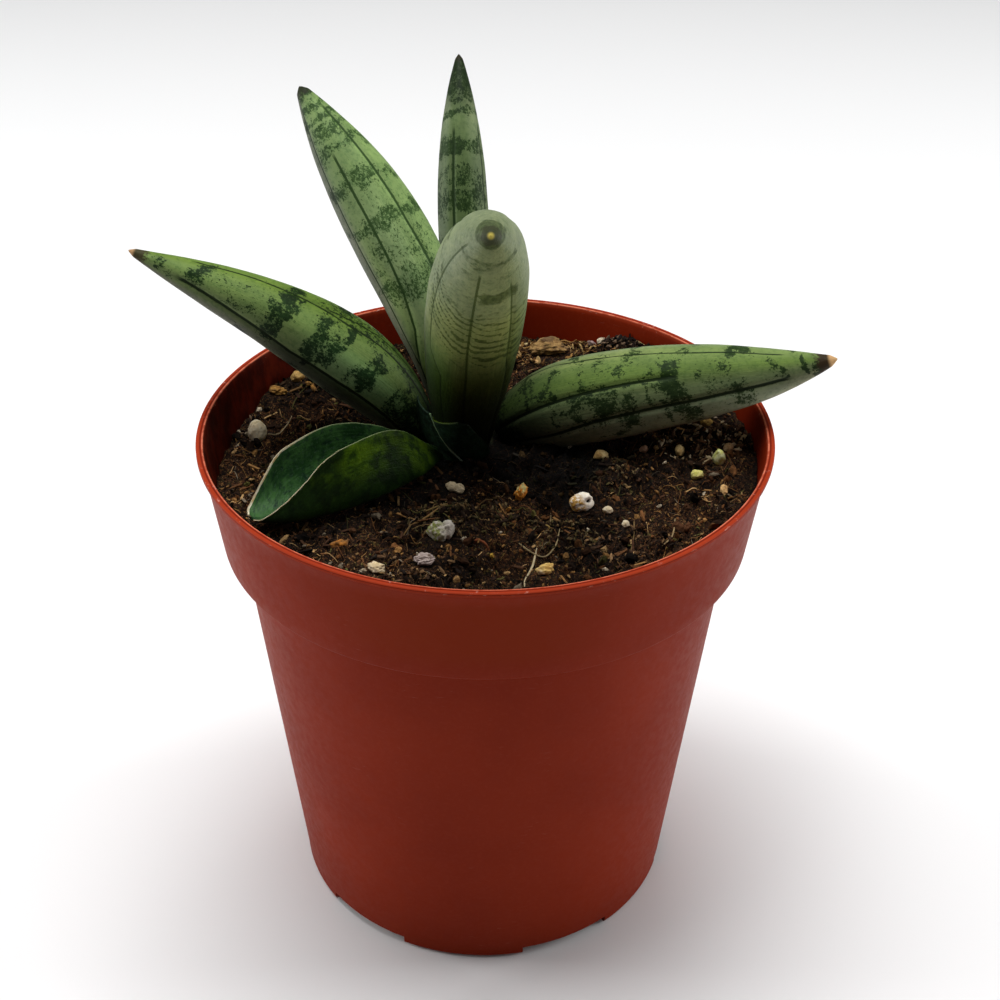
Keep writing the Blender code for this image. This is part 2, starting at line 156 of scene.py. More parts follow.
# ---- node helpers ---------------------------------------------------------------
class Nodes:
    """Short-hand for building one material's node tree."""

    def __init__(self, name):
        self.mat = bpy.data.materials.new(name)
        self.mat.use_nodes = True
        self.tree = self.mat.node_tree
        self.shader = self.tree.nodes["Principled BSDF"]

    def new(self, kind, **settings):
        node = self.tree.nodes.new(kind)
        for key, value in settings.items():
            setattr(node, key, value)
        return node

    def link(self, a, b):
        self.tree.links.new(a, b)

    def put(self, socket, value):
        if isinstance(value, bpy.types.NodeSocket):
            self.link(value, socket)
        elif isinstance(value, (tuple, list)) and len(value) == 3 and socket.type == 'RGBA':
            socket.default_value = (*value, 1.0)
        else:
            socket.default_value = value

    def math(self, op, a, b=None, c=None, clamp=False):
        node = self.new("ShaderNodeMath", operation=op)
        node.use_clamp = clamp
        self.put(node.inputs[0], a)
        if b is not None:
            self.put(node.inputs[1], b)
        if c is not None:
            self.put(node.inputs[2], c)
        return node.outputs[0]

    def vec(self, op, a, b=None, scale=None):
        node = self.new("ShaderNodeVectorMath", operation=op)
        self.put(node.inputs[0], a)
        if b is not None:
            self.put(node.inputs[1], b)
        if scale is not None:
            self.put(node.inputs["Scale"], scale)
        return node.outputs["Value"] if op in ("DISTANCE", "LENGTH", "DOT_PRODUCT") else node.outputs[0]

    def attribute(self, name, what="Fac"):
        node = self.new("ShaderNodeAttribute")
        node.attribute_name = name
        return node.outputs[what]

    def object_mm(self):
        """Object coordinates in millimetres."""
        node = self.new("ShaderNodeTexCoord")
        return self.vec("SCALE", node.outputs["Object"], scale=1000.0)

    def split(self, v):
        node = self.new("ShaderNodeSeparateXYZ")
        self.link(v, node.inputs[0])
        return node.outputs[0], node.outputs[1], node.outputs[2]

    def join(self, x, y, z):
        node = self.new("ShaderNodeCombineXYZ")
        for i, v in enumerate((x, y, z)):
            self.put(node.inputs[i], v)
        return node.outputs[0]

    def noise(self, coord, scale, detail=3.0, rough=0.55, distort=0.0, stretch=None, lacunarity=2.0):
        if stretch:
            coord = self.vec("MULTIPLY", coord, stretch)
        node = self.new("ShaderNodeTexNoise")
        self.link(coord, node.inputs["Vector"])
        node.inputs["Scale"].default_value = scale
        node.inputs["Detail"].default_value = detail
        node.inputs["Roughness"].default_value = rough
        node.inputs["Distortion"].default_value = distort
        node.inputs["Lacunarity"].default_value = lacunarity
        return node.outputs["Fac"]

    def cells(self, coord, scale, feature='F1', what="Distance", random_=1.0, stretch=None):
        if stretch:
            coord = self.vec("MULTIPLY", coord, stretch)
        node = self.new("ShaderNodeTexVoronoi", feature=feature)
        self.link(coord, node.inputs["Vector"])
        node.inputs["Scale"].default_value = scale
        node.inputs["Randomness"].default_value = random_
        return node.outputs[what]

    def step(self, value, a, b, lo=0.0, hi=1.0, smooth=True):
        node = self.new("ShaderNodeMapRange")
        node.interpolation_type = 'SMOOTHSTEP' if smooth else 'LINEAR'
        self.put(node.inputs["Value"], value)
        self.put(node.inputs["From Min"], a)
        self.put(node.inputs["From Max"], b)
        self.put(node.inputs["To Min"], lo)
        self.put(node.inputs["To Max"], hi)
        return node.outputs["Result"]

    def ramp(self, value, stops, mode='LINEAR'):
        """A curve through (place, level) stops, levels from 0 to 1."""
        node = self.new("ShaderNodeValToRGB")
        self.put(node.inputs[0], value)
        ramp = node.color_ramp
        ramp.interpolation = mode
        while len(ramp.elements) < len(stops):
            ramp.elements.new(0.5)
        for element, (at, level) in zip(ramp.elements, stops):
            element.position = at
        for element, (at, level) in zip(ramp.elements, stops):
            element.position = at
            colour = level if isinstance(level, (tuple, list)) else (level,) * 3
            element.color = (*colour, 1.0)
        return node.outputs["Color"]

    def mix(self, factor, a, b, how='MIX'):
        node = self.new("ShaderNodeMix", data_type='RGBA', blend_type=how)
        self.put(node.inputs[0], factor)
        self.put(node.inputs[6], a)
        self.put(node.inputs[7], b)
        return node.outputs[2]

    def bump(self, height, distance, strength=1.0, normal=None):
        node = self.new("ShaderNodeBump")
        node.inputs["Strength"].default_value = strength
        node.inputs["Distance"].default_value = distance
        self.link(height, node.inputs["Height"])
        if normal is not None:
            self.link(normal, node.inputs["Normal"])
        return node.outputs["Normal"]

    def finish(self, colour=None, rough=None, normal=None, **constants):
        if colour is not None:
            self.put(self.shader.inputs["Base Color"], colour)
        if rough is not None:
            self.put(self.shader.inputs["Roughness"], rough)
        if normal is not None:
            self.put(self.shader.inputs["Normal"], normal)
        for key, value in constants.items():
            self.shader.inputs[key.replace("_", " ")].default_value = value
        return self.mat


def srgb(r, g, b):
    """A screen colour from 0 to 255 as the renderer's linear numbers."""
    out = []
    for v in (r, g, b):
        v /= 255.0
        out.append(v / 12.92 if v <= 0.04045 else ((v + 0.055) / 1.055) ** 2.4)
    return tuple(out)


# ---- camera, floor and light ---------------------------------------------------------
camera_data = bpy.data.cameras.new("camera")
camera_data.lens = 58.7135
camera_data.sensor_width = 36.0
camera_data.clip_start = 0.01
camera_data.clip_end = 50.0
camera = bpy.data.objects.new("camera", camera_data)
right = Vector((0.99995284, -0.00524122, 0.00817558))
up = Vector((-0.0039841, 0.54634801, 0.83754879))
ahead = Vector((0.00885649, 0.83754187, -0.54630137))
spot = Vector((0.0, -0.25026758, 0.2439602))
camera.matrix_world = Matrix((
    (right.x, up.x, -ahead.x, spot.x),
    (right.y, up.y, -ahead.y, spot.y),
    (right.z, up.z, -ahead.z, spot.z),
    (0, 0, 0, 1)))
bpy.context.scene.collection.objects.link(camera)
bpy.context.scene.camera = camera

scene = bpy.context.scene
scene.view_settings.view_transform = 'Standard'
scene.view_settings.look = 'None'
scene.view_settings.exposure = 0.0
scene.view_settings.gamma = 1.0

world = bpy.data.worlds.new("studio")
world.use_nodes = True
world.node_tree.nodes["Background"].inputs[0].default_value = (0.97, 0.98, 1.0, 1.0)
world.node_tree.nodes["Background"].inputs[1].default_value = 0.14
scene.world = world


def soft_light(name, where, aim, size, power, colour=(1, 1, 1)):
    data = bpy.data.lights.new(name, 'AREA')
    data.shape = 'RECTANGLE'
    data.size, data.size_y = size
    data.energy = power
    data.color = colour
    light = bpy.data.objects.new(name, data)
    light.location = where
    light.rotation_mode = 'QUATERNION'
    light.rotation_quaternion = (Vector(aim) - Vector(where)).to_track_quat('-Z', 'Y')
    bpy.context.scene.collection.objects.link(light)
    return light


soft_light("overhead", (-0.05, 0.12, 1.0), (0, 0.02, 0.1), (0.7, 0.55), 9.6)
soft_light("left_panel", (-0.9, 0.15, 0.30), (0, 0, 0.08), (0.4, 0.6), 5.0)
soft_light("right_panel", (0.9, 0.15, 0.30), (0, 0, 0.08), (0.4, 0.6), 5.0)

floor_nodes = Nodes("floor_paper")
floor_mat = floor_nodes.finish(colour=(0.88, 0.88, 0.88), rough=0.9)
floor = make_mesh("floor", [(-3000, -3000, -0.05), (3000, -3000, -0.05), (3000, 3000, -0.05), (-3000, 3000, -0.05)],
                  [(0, 1, 2, 3)], floor_mat, smooth=False)


# ---- pot -------------------------------------------------------------------------------
POT_HEIGHT, RIM_RADIUS, RIM_LIP_DEPTH, RIM_LAND = 96.9, 51.0, 0.8, 1.3
BAND_TOP_RADIUS, BAND_FOOT_RADIUS, BAND_HEIGHT = 50.2, 47.7, 19.6
WALL_TOP_RADIUS, WALL_FOOT_RADIUS, FOOT_RADIUS, FOOT_ROUND = 44.5, 36.6, 35.9, 1.8
WALL, FLOOR = 1.0, 1.6
NOTCH_CENTRES = (-129.0, -64.0, -5.0, 54.0, 113.0, 172.0)
NOTCH_WIDTH, NOTCH_HEIGHT, NOTCH_INNER = 18.0, 2.0, 31.5
LEDGE_Z = POT_HEIGHT - BAND_HEIGHT


def wall_outside(z):
    return WALL_FOOT_RADIUS + (WALL_TOP_RADIUS - WALL_FOOT_RADIUS) * (z - FOOT_ROUND) / (LEDGE_Z - FOOT_ROUND)


def band_outside(z):
    return BAND_FOOT_RADIUS + (BAND_TOP_RADIUS - BAND_FOOT_RADIUS) * (z - LEDGE_Z) / (BAND_HEIGHT - RIM_LIP_DEPTH)


def arc(centre, radius, start, end, steps):
    """Points (r, z) on a rounding, angles in degrees from +r towards +z."""
    return [(centre[0] + radius * math.cos(math.radians(start + (end - start) * i / steps)),
             centre[1] + radius * math.sin(math.radians(start + (end - start) * i / steps))) for i in range(steps + 1)]


def dense(profile, longest):
    """The same profile with no span longer than this."""
    out = [profile[0]]
    for p, q in zip(profile, profile[1:]):
        span = math.hypot(q[0] - p[0], q[1] - p[1])
        n = max(1, math.ceil(span / longest))
        out += [(p[0] + (q[0] - p[0]) * i / n, p[1] + (q[1] - p[1]) * i / n) for i in range(1, n + 1)]
    return out


inner_rim = RIM_RADIUS - RIM_LAND
step_low = wall_outside(LEDGE_Z) - WALL
step_high = band_outside(LEDGE_Z + 1.6) - WALL
pot_profile = [(0.0, FLOOR), (wall_outside(FLOOR) - WALL - 2.0, FLOOR)]
pot_profile += arc((wall_outside(FLOOR) - WALL - 1.6, FLOOR + 1.6), 1.6, -90, -4, 6)
pot_profile += [(step_low, LEDGE_Z + 0.6)]
pot_profile += [(step_low + 0.25, LEDGE_Z + 1.0), (step_high - 0.5, LEDGE_Z + 1.15), (step_high - 0.1, LEDGE_Z + 1.4),
                (step_high, LEDGE_Z + 1.9)]
pot_profile += [(inner_rim - 0.35, POT_HEIGHT - 1.5), (inner_rim - 0.12, POT_HEIGHT - 0.55)]
pot_profile += arc((inner_rim + 0.22, POT_HEIGHT - 0.22), 0.22, 180, 90, 4)
pot_profile += arc((RIM_RADIUS - 0.26, POT_HEIGHT - 0.26), 0.26, 90, 0, 5)
pot_profile += arc((RIM_RADIUS - 0.16, POT_HEIGHT - RIM_LIP_DEPTH + 0.16), 0.16, 0, -90, 4)
pot_profile += [(BAND_TOP_RADIUS + 0.05, POT_HEIGHT - RIM_LIP_DEPTH - 0.02),
                (BAND_TOP_RADIUS - 0.12, POT_HEIGHT - RIM_LIP_DEPTH - 0.14),
                (BAND_TOP_RADIUS - 0.10, POT_HEIGHT - RIM_LIP_DEPTH - 0.30),
                (BAND_TOP_RADIUS + 0.10, POT_HEIGHT - RIM_LIP_DEPTH - 0.45),
                (BAND_TOP_RADIUS + 0.08, POT_HEIGHT - RIM_LIP_DEPTH - 0.70),
                (band_outside(POT_HEIGHT - 1.9), POT_HEIGHT - 1.9)]
pot_profile += [(band_outside(LEDGE_Z + 0.8), LEDGE_Z + 0.8)]
pot_profile += arc((BAND_FOOT_RADIUS - 0.55, LEDGE_Z + 0.6), 0.6, 0, -90, 5)
pot_profile += [(WALL_TOP_RADIUS + 0.7, LEDGE_Z - 0.03)]
pot_profile += arc((WALL_TOP_RADIUS + 0.42, LEDGE_Z - 0.5), 0.45, 90, 176, 5)
pot_profile += [(WALL_FOOT_RADIUS + 0.02, FOOT_ROUND)]
pot_profile += arc((WALL_FOOT_RADIUS - 1.0, 1.05), 1.02, 4, -78, 7)
pot_profile += [(FOOT_RADIUS - 0.9, 0.0), (28.4, 0.0), (28.0, 0.35), (14.0, 0.45), (13.6, 0.1), (11.0, 0.1), (10.6, 0.45),
                (0.0, 0.45)]

pot_points = dense(pot_profile, 2.2)


def turned_mesh(name, points, steps, mat):
    verts, rows = [], []
    for r, z in points:
        if r < 1e-6:
            rows.append([len(verts)])
            verts.append((0.0, 0.0, z))
            continue
        start = len(verts)
        for j in range(steps):
            a = math.tau * j / steps
            verts.append((r * math.cos(a), r * math.sin(a), z))
        rows.append(list(range(start, start + steps)))
    faces = []
    for p, q in zip(rows, rows[1:]):
        for j in range(steps):
            k = (j + 1) % steps
            if len(p) == 1 and len(q) == 1:
                break
            if len(p) == 1:
                faces.append((p[0], q[k], q[j]))
            elif len(q) == 1:
                faces.append((p[j], p[k], q[0]))
            else:
                faces.append((p[j], p[k], q[k], q[j]))
    obj = make_mesh(name, verts, faces, mat)
    facing_out(obj)
    return obj


def pot_material():
    n = Nodes("terracotta_plastic")
    p = n.object_mm()
    x, y, z = n.split(p)
    broad = n.noise(p, 0.035, 3, 0.5)
    colour = n.mix(n.step(broad, 0.35, 0.65), srgb(121, 33, 9), srgb(128, 37, 12))
    fine = n.noise(p, 1.3, 4, 0.6)
    colour = n.mix(n.math("MULTIPLY", n.step(fine, 0.45, 0.75), 0.12), colour, srgb(150, 62, 40))
    # scuffs: thin pale marks, mostly on the rim, and a few arcs on the walls
    streak = n.noise(p, 1.0, 5, 0.65, distort=0.6, stretch=(0.5, 0.5, 2.6))
    scuff = n.step(streak, 0.60, 0.72)
    patch = n.step(n.noise(p, 0.09, 2, 0.5), 0.52, 0.66)
    near_rim = n.step(z, 95.9, 96.7)
    scuff = n.math("MULTIPLY", scuff, n.math("ADD", n.math("MULTIPLY", patch, 0.07), n.math("MULTIPLY", near_rim, 0.6)), clamp=True)
    # painted sheen: the rim top and lip are painted lighter, as where the light falls on them
    colour = n.mix(n.math("MULTIPLY", near_rim, 0.42), colour, srgb(184, 66, 36))
    reach = n.math("SQRT", n.math("ADD", n.math("MULTIPLY", x, x), n.math("MULTIPLY", y, y)))
    # warmer over the front of the band, as a painted reflection, and painted shade over the inner wall on the left
    warm = n.math("MULTIPLY", n.math("MULTIPLY", n.step(z, 78.0, 84.0), n.step(z, 96.0, 92.0)), n.step(y, -34.0, -44.0))
    warm = n.math("MULTIPLY", warm, n.step(n.math("ABSOLUTE", n.math("ADD", x, 3.0)), 30.0, 8.0, 0, 0.7))
    # painted reflection: a warm tint on the front of the band only
    colour = n.mix(warm, colour, srgb(123, 37, 2))
    skin_at = n.math("ADD", n.math("MULTIPLY", z, 0.13298), 37.42)
    # painted shade: darkens the inner wall on the left above the mix, broken up by noise
    left_wall_shade = n.math("MULTIPLY", n.math("MULTIPLY", n.step(n.math("SUBTRACT", reach, skin_at), -0.42, -0.62), n.step(z, 84.0, 86.0)), n.step(x, -10.0, -36.0))
    left_wall_shade = n.math("MULTIPLY", left_wall_shade, n.step(n.noise(p, 0.3, 4, 0.65, stretch=(1, 1, 0.5)), 0.30, 0.62, 0.45, 0.9))
    colour = n.mix(left_wall_shade, colour, srgb(44, 10, 7))
    on_top = n.step(z, 96.55, 96.75)
    # painted shade: dark lines for a groove on the rim top and at the outer corner of the lip
    groove_shade = n.math("MULTIPLY", on_top, n.step(n.math("ABSOLUTE", n.math("SUBTRACT", reach, 50.22)), 0.22, 0.08))
    # painted highlight: a pale line along the rim's inner edge, broken up by noise
    rim_highlight = n.math("MULTIPLY", on_top, n.step(n.math("ABSOLUTE", n.math("SUBTRACT", reach, 49.86)), 0.22, 0.06))
    rim_highlight = n.math("MULTIPLY", rim_highlight, n.step(n.noise(p, 0.5, 4, 0.7, stretch=(1, 1, 0.2)), 0.40, 0.56, 0.25, 0.75))
    lip_shade = n.math("MULTIPLY", n.step(reach, 50.6, 50.8), n.step(n.math("ABSOLUTE", n.math("SUBTRACT", z, 96.62)), 0.11, 0.04))
    colour = n.mix(n.math("MULTIPLY", n.math("MAXIMUM", groove_shade, lip_shade), 0.8), colour, srgb(98, 20, 7))
    colour = n.mix(rim_highlight, colour, srgb(222, 128, 98))
    colour = n.mix(scuff, colour, srgb(220, 170, 154))
    rough = n.step(n.noise(p, 0.6, 4, 0.6), 0.3, 0.7, 0.42, 0.54)
    grain = n.noise(p, 3.2, 3, 0.6)
    normal = n.bump(grain, 0.00004, 0.5)
    return n.finish(colour=colour, rough=rough, normal=normal, Specular_IOR_Level=0.045)


def apply_all(obj):
    bpy.context.view_layer.update()
    seen = obj.evaluated_get(bpy.context.evaluated_depsgraph_get())
    mesh = bpy.data.meshes.new_from_object(seen)
    obj.modifiers.clear()
    obj.data = mesh


pot = turned_mesh("pot", pot_points, 288, pot_material())
blocks = bmesh.new()
for azimuth in NOTCH_CENTRES:
    made = bmesh.ops.create_cube(blocks, size=1.0)["verts"]
    shape = Matrix.Diagonal((9.0 * MM, NOTCH_WIDTH * MM, (NOTCH_HEIGHT + 2.0) * MM, 1.0))
    spot_ = Matrix.Rotation(math.radians(azimuth), 4, 'Z') @ Matrix.Translation(
        ((NOTCH_INNER + 4.5) * MM, 0.0, (NOTCH_HEIGHT - 2.0) / 2 * MM))
    bmesh.ops.transform(blocks, matrix=spot_ @ shape, verts=made)
block_mesh = bpy.data.meshes.new("notch_blocks")
blocks.to_mesh(block_mesh)
blocks.free()
notch = bpy.data.objects.new("notch_blocks", block_mesh)
bpy.context.scene.collection.objects.link(notch)
cut = pot.modifiers.new("cut", 'BOOLEAN')
cut.operation, cut.solver, cut.object = 'DIFFERENCE', 'EXACT', notch
apply_all(pot)
bpy.data.objects.remove(notch, do_unlink=True)
pot.data.polygons.foreach_set("use_smooth", np.ones(len(pot.data.polygons), bool))
pot.data.set_sharp_from_angle(angle=math.radians(40))
place(pot, "nursery_pot")


# ---- potting mix ---------------------------------------------------------------------------
GRAINS = {
    "perlite_grain_01": (16.5, -15.2, 4.4, 3.6, 3.2, 20),
    "perlite_grain_02": (21.0, -16.6, 1.9, 1.6, 1.5, 0),
    "perlite_grain_03": (23.8, -20.6, 1.7, 1.5, 1.4, 50),
    "perlite_grain_04": (20.7, 0.3, 2.9, 2.2, 2.0, 10),
    "perlite_grain_05": (28.6, 1.9, 1.7, 1.5, 1.4, 0),
    "perlite_grain_06": (34.8, -0.2, 2.6, 1.8, 1.9, 70),
    "perlite_grain_07": (37.2, -7.4, 2.5, 2.0, 1.8, 15),
    "perlite_grain_08": (41.4, -4.0, 2.4, 2.2, 3.4, 0),
    "perlite_grain_09": (43.6, 0.2, 2.1, 1.9, 1.8, 40),
    "perlite_grain_10": (40.6, 8.6, 2.4, 2.0, 1.8, 0),
    "perlite_grain_11": (-5.3, -9.4, 3.9, 2.0, 1.9, -25),
    "perlite_grain_12": (-42.2, 9.2, 3.6, 3.9, 2.9, 20),
    "perlite_grain_13": (-36.6, 28.0, 2.6, 2.8, 2.4, 35),
    "bark_chip_01": (6.1, -11.0, 3.6, 2.2, 2.4, 65),
    "bark_chip_02": (-10.0, -30.8, 3.6, 2.8, 2.2, 10),
    "bark_chip_03": (9.6, -33.6, 3.3, 2.4, 1.9, 15),
    "bark_chip_04": (-17.9, -32.6, 3.2, 2.2, 1.8, -10),
    "bark_chip_05": (-39.8, 23.2, 4.4, 2.2, 1.9, -15),
    "bark_chip_06": (12.4, 37.0, 8.2, 5.4, 3.4, 10),
    "pumice_chunk": (-7.4, -23.4, 4.6, 3.8, 3.8, 30),
}
FOLDED_BASE, FOLDED_TIP = np.array([-8.4, 0.8]), np.array([-38.9, -21.4])


def mix_height(x, y):
    heap_back = 3.3 * np.exp(-((x - 31) ** 2 + (y - 34) ** 2) / (2 * 11.5 ** 2))
    heap_right = 2.0 * np.exp(-((x - 50) ** 2 + (y - 6) ** 2) / (2 * 13.0 ** 2))
    heap_left = 1.2 * np.exp(-((x + 36) ** 2 + (y - 28) ** 2) / (2 * 11.0 ** 2))
    return 88.2 + 0.02 * x + 0.02 * y + heap_back + heap_right + heap_left


def inside_wall(z):
    return band_outside(z) - WALL - 0.03


def grain_spots():
    """Each grain's centre and sizes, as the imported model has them."""
    out = {}
    taller = {"perlite_grain_12": 1.5, "bark_chip_01": 1.35, "perlite_grain_01": 1.1}
    for name, (x, y, length, width, height, turn) in GRAINS.items():
        low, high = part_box(name)
        height = height * taller.get(name, 1.0)
        out[name] = (x, y, (low[2] + high[2]) / 2 / MM, length, width, height, turn)
    return out


SPOTS = grain_spots()


# low heaps on the mix: middle, radii, height, number of bits, their sizes, and their tones
OCHRE = [srgb(150, 112, 62), srgb(124, 88, 46), srgb(96, 66, 34), srgb(172, 142, 92), srgb(70, 46, 26)]
BROWN = [srgb(62, 44, 30), srgb(44, 30, 20), srgb(92, 66, 44), srgb(30, 20, 14), srgb(120, 92, 62)]
OLIVE = [srgb(84, 74, 42), srgb(58, 50, 30), srgb(98, 78, 50), srgb(44, 32, 24), srgb(112, 94, 64)]
PALE = [srgb(170, 148, 112), srgb(120, 96, 66), srgb(88, 64, 42), srgb(60, 42, 28), srgb(200, 180, 146)]
BLACK = [srgb(26, 18, 14), srgb(38, 26, 20), srgb(18, 12, 9), srgb(56, 40, 32), srgb(104, 84, 66)]
HEAPS = [
    (12.5, 37.6, 8.5, 4.6, 1.8, 420, (0.35, 1.1), OCHRE), (26.2, 37.6, 3.6, 3.0, 2.2, 170, (0.3, 0.9), BLACK),
    (33.0, 33.0, 5.0, 4.0, 0.9, 180, (0.3, 0.9), BROWN), (-4.5, -17.5, 9.0, 5.5, 1.1, 360, (0.25, 0.75), OLIVE),
    (12.5, -22.5, 6.0, 4.0, 0.9, 240, (0.25, 0.7), OLIVE), (39.0, 2.5, 7.0, 7.0, 0.7, 260, (0.35, 1.0), PALE),
    (22.5, -5.0, 4.5, 5.5, 0.8, 170, (0.25, 0.7), OLIVE), (-44.0, 8.0, 2.6, 9.0, 0.8, 200, (0.25, 0.7), BLACK),
    (-35.0, 26.5, 6.0, 4.5, 0.8, 190, (0.3, 1.0), BROWN), (-12.0, -33.0, 9.0, 4.0, 0.6, 240, (0.3, 0.8), BROWN),
    (24.0, -26.0, 7.0, 5.0, 0.6, 240, (0.3, 0.8), BROWN), (-33.0, -8.0, 5.0, 6.0, 0.5, 150, (0.3, 0.8), PALE),
]


def mix_surface(x, y, fine=True):
    """The mix's own lumpy top, millimetres."""
    x, y = np.asarray(x, float), np.asarray(y, float)
    flat = np.stack([x, y, np.zeros_like(x)], 1)
    warp = np.stack([fbm(flat, 0.25, 2, 71) - 0.5, fbm(flat, 0.25, 2, 72) - 0.5, np.zeros_like(x)], 1) * 4.0
    lumps = (fbm(flat, 0.10, 2, 5) - 0.5) * 3.6
    clods = np.abs(fbm(flat + warp, 0.22, 3, 9, 0.6) - 0.5) * -9.0 + 1.2
    crumbs = (fbm(flat + warp, 0.7, 3, 13, 0.65) - 0.5) * 3.2
    bump = lumps + clods + crumbs
    if fine:
        bump = bump + (fbm(flat, 2.0, 2, 21, 0.6) - 0.5) * 1.1
    for cx, cy, rx, ry, high, *_ in HEAPS:
        bump = bump + high * smoothstep(1.3, 0.2, np.hypot((x - cx) / rx, (y - cy) / ry))
    bump = bump * (1 - 0.45 * smoothstep(42.5, 47.5, np.hypot(x, y)))
    # quieter where a grain, the folded leaf or the stem sits on it
    base = mix_height(x, y)
    for name, (gx_, gy_, gz_, length, width, height, turn) in SPOTS.items():
        d = np.hypot(x - gx_, y - gy_) / (0.5 * length + 0.9)
        hold = smoothstep(1.5, 0.6, d)
        bump = bump * (1 - hold) + (gz_ - 0.34 * height - base) * hold
    run = FOLDED_TIP - FOLDED_BASE
    front = np.array([run[1], -run[0]]) / np.linalg.norm(run)
    if front[1] > 0:
        front = -front
    t = ((x - FOLDED_BASE[0]) * run[0] + (y - FOLDED_BASE[1]) * run[1]) / run.dot(run)
    w = (x - FOLDED_BASE[0]) * front[0] + (y - FOLDED_BASE[1]) * front[1] - 2.0 * np.sin(np.pi * np.clip(t, 0, 1))
    hold = smoothstep(5.5, 3.2, np.abs(w)) * smoothstep(-0.08, 0.02, t) * smoothstep(1.06, 0.97, t)
    bump = bump * (1 - hold) + (0.25 + 0.15 * (bump > 0)) * hold
    d = np.hypot((x + 3.4) / 12.6, (y - 12.2) / 11.4)
    hold = smoothstep(1.25, 0.95, d)
    bump = bump * (1 - hold) + (-0.3 + 0.4 * np.clip(bump, -1, 1)) * hold
    return base + bump


def painted_shade(x, y):
    """1 where shade is painted dark into the mix round the crown and under the low leaves, falling to 0 away from it.
    """
    crown = smoothstep(15.5, 7.5, np.hypot((x + 2.0) * 0.85, y - 6.0))
    shade_right = smoothstep(7.0, 2.0, np.abs(y - 4.5 + 0.12 * x)) * smoothstep(0, 6, x) * smoothstep(40, 20, x)
    shade_left = smoothstep(9.0, 3.0, np.abs(y - 8.5)) * smoothstep(-6, -12, x) * smoothstep(-40, -27, x)
    shade_fold = smoothstep(8.0, 3.0, np.hypot(x + 24.0 - np.clip(x + 24.0, -14, 14), y + 17.0 - 0.73 * np.clip(x + 24.0, -14, 14))) * 0.7
    beside = smoothstep(1.4, 0.85, np.hypot((x - 11.0) / 9.5, (y + 3.5) / 9.5))
    behind = smoothstep(1.3, 0.7, np.hypot((x + 36.0) / 8.0, (y - 24.0) / 6.5)) * 0.6
    return np.clip(np.maximum.reduce([crown * 1.1, beside, behind, 0.8 * shade_right, 0.8 * shade_left, shade_fold]), 0, 1)


def broad_tone(x, y):
    """Patches where the mix is lighter and more fibrous, from about 0.6 to 1.6."""
    flat = np.stack([x, y, np.zeros_like(x)], 1)
    patches = fbm(flat, 0.085, 3, 207, 0.55)
    return 0.42 + 1.45 * smoothstep(0.38, 0.62, patches)


def mix_material():
    n = Nodes("peat_mix")
    p = n.object_mm()
    dark, mid, warm, tan = srgb(16, 10, 7), srgb(40, 26, 18), srgb(78, 48, 28), srgb(140, 102, 60)
    a = n.noise(p, 0.7, 5, 0.75)
    colour = n.mix(n.step(a, 0.42, 0.60), dark, mid)
    b = n.noise(p, 1.7, 4, 0.7, distort=0.5)
    colour = n.mix(n.step(b, 0.52, 0.62, 0, 0.85), colour, warm)
    c = n.noise(p, 2.6, 4, 0.7, distort=0.8)
    colour = n.mix(n.step(c, 0.585, 0.64, 0, 0.9), colour, tan)
    d = n.noise(p, 0.9, 3, 0.6)
    colour = n.mix(n.math("MULTIPLY", n.step(d, 0.55, 0.66, 0, 0.5), n.step(c, 0.48, 0.60)), colour, srgb(96, 90, 44))
    # the tone brings random lighter patches and painted shade round the crown and under the leaves
    light = n.attribute("tone")
    colour = n.mix(1.0, colour, n.join(light, light, light), how='MULTIPLY')
    height = n.math("ADD", n.noise(p, 1.6, 5, 0.75, distort=0.5), n.math("MULTIPLY", n.noise(p, 5.0, 3, 0.6), 0.35))
    normal = n.bump(height, 0.0009, 1.0)
    return n.finish(colour=colour, rough=0.92, normal=normal, Specular_IOR_Level=0.12)


mix_mat = mix_material()
GRID = 272
u = np.linspace(-1, 1, GRID)
uu, vv = np.meshgrid(u, u)
ux = (uu * np.sqrt(1 - vv ** 2 / 2)).ravel()
uy = (vv * np.sqrt(1 - uu ** 2 / 2)).ravel()
gx, gy = ux * 48.1, uy * 48.1
gz = mix_surface(gx, gy)
reach = np.hypot(ux, uy)
grow = 1 + (inside_wall(gz) / 48.1 - 1) * smoothstep(0.85, 1.0, reach)
gx, gy = gx * grow, gy * grow
top = np.stack([gx, gy, gz], 1)
faces = grid_faces(GRID, GRID, wrap=False)
ring = list(range(GRID)) + [GRID * (i + 1) - 1 for i in range(1, GRID)] \
    + [GRID * (GRID - 1) + j for j in range(GRID - 2, -1, -1)] + [GRID * i for i in range(GRID - 2, 0, -1)]
verts = [tuple(v) for v in top]
levels = [(83.0, 47.3), (79.6, 46.9), (78.6, 43.2), (40.0, 39.3), (3.4, 35.2), (1.9, 34.0)]
previous = ring
for z_, r_ in levels:
    here = []
    for k in ring:
        a = math.atan2(top[k][1], top[k][0])
        here.append(len(verts))
        verts.append((r_ * math.cos(a), r_ * math.sin(a), z_))
    m = len(ring)
    for j in range(m):
        faces.append((previous[j], here[j], here[(j + 1) % m], previous[(j + 1) % m]))
    previous = here
centre = len(verts)
verts.append((0.0, 0.0, 1.9))
for j in range(len(previous)):
    faces.append((previous[j], centre, previous[(j + 1) % len(previous)]))
bed = make_mesh("mix_bed", verts, faces, mix_mat)
vx, vy = np.array([v[0] for v in verts]), np.array([v[1] for v in verts])
# tone: random lighter patches, darkened by painted shade round the crown and under the leaves
point_floats(bed, "tone", broad_tone(vx, vy) * (1 - 0.9 * painted_shade(vx, vy)))
facing_out(bed)
place(bed, "potting_mix")


def ico(subdivisions):
    bm = bmesh.new()
    bmesh.ops.create_icosphere(bm, subdivisions=subdivisions, radius=1.0)
    v = np.array([tuple(p.co) for p in bm.verts])
    f = [tuple(c.index for c in face.verts) for face in bm.faces]
    bm.free()
    return v, f


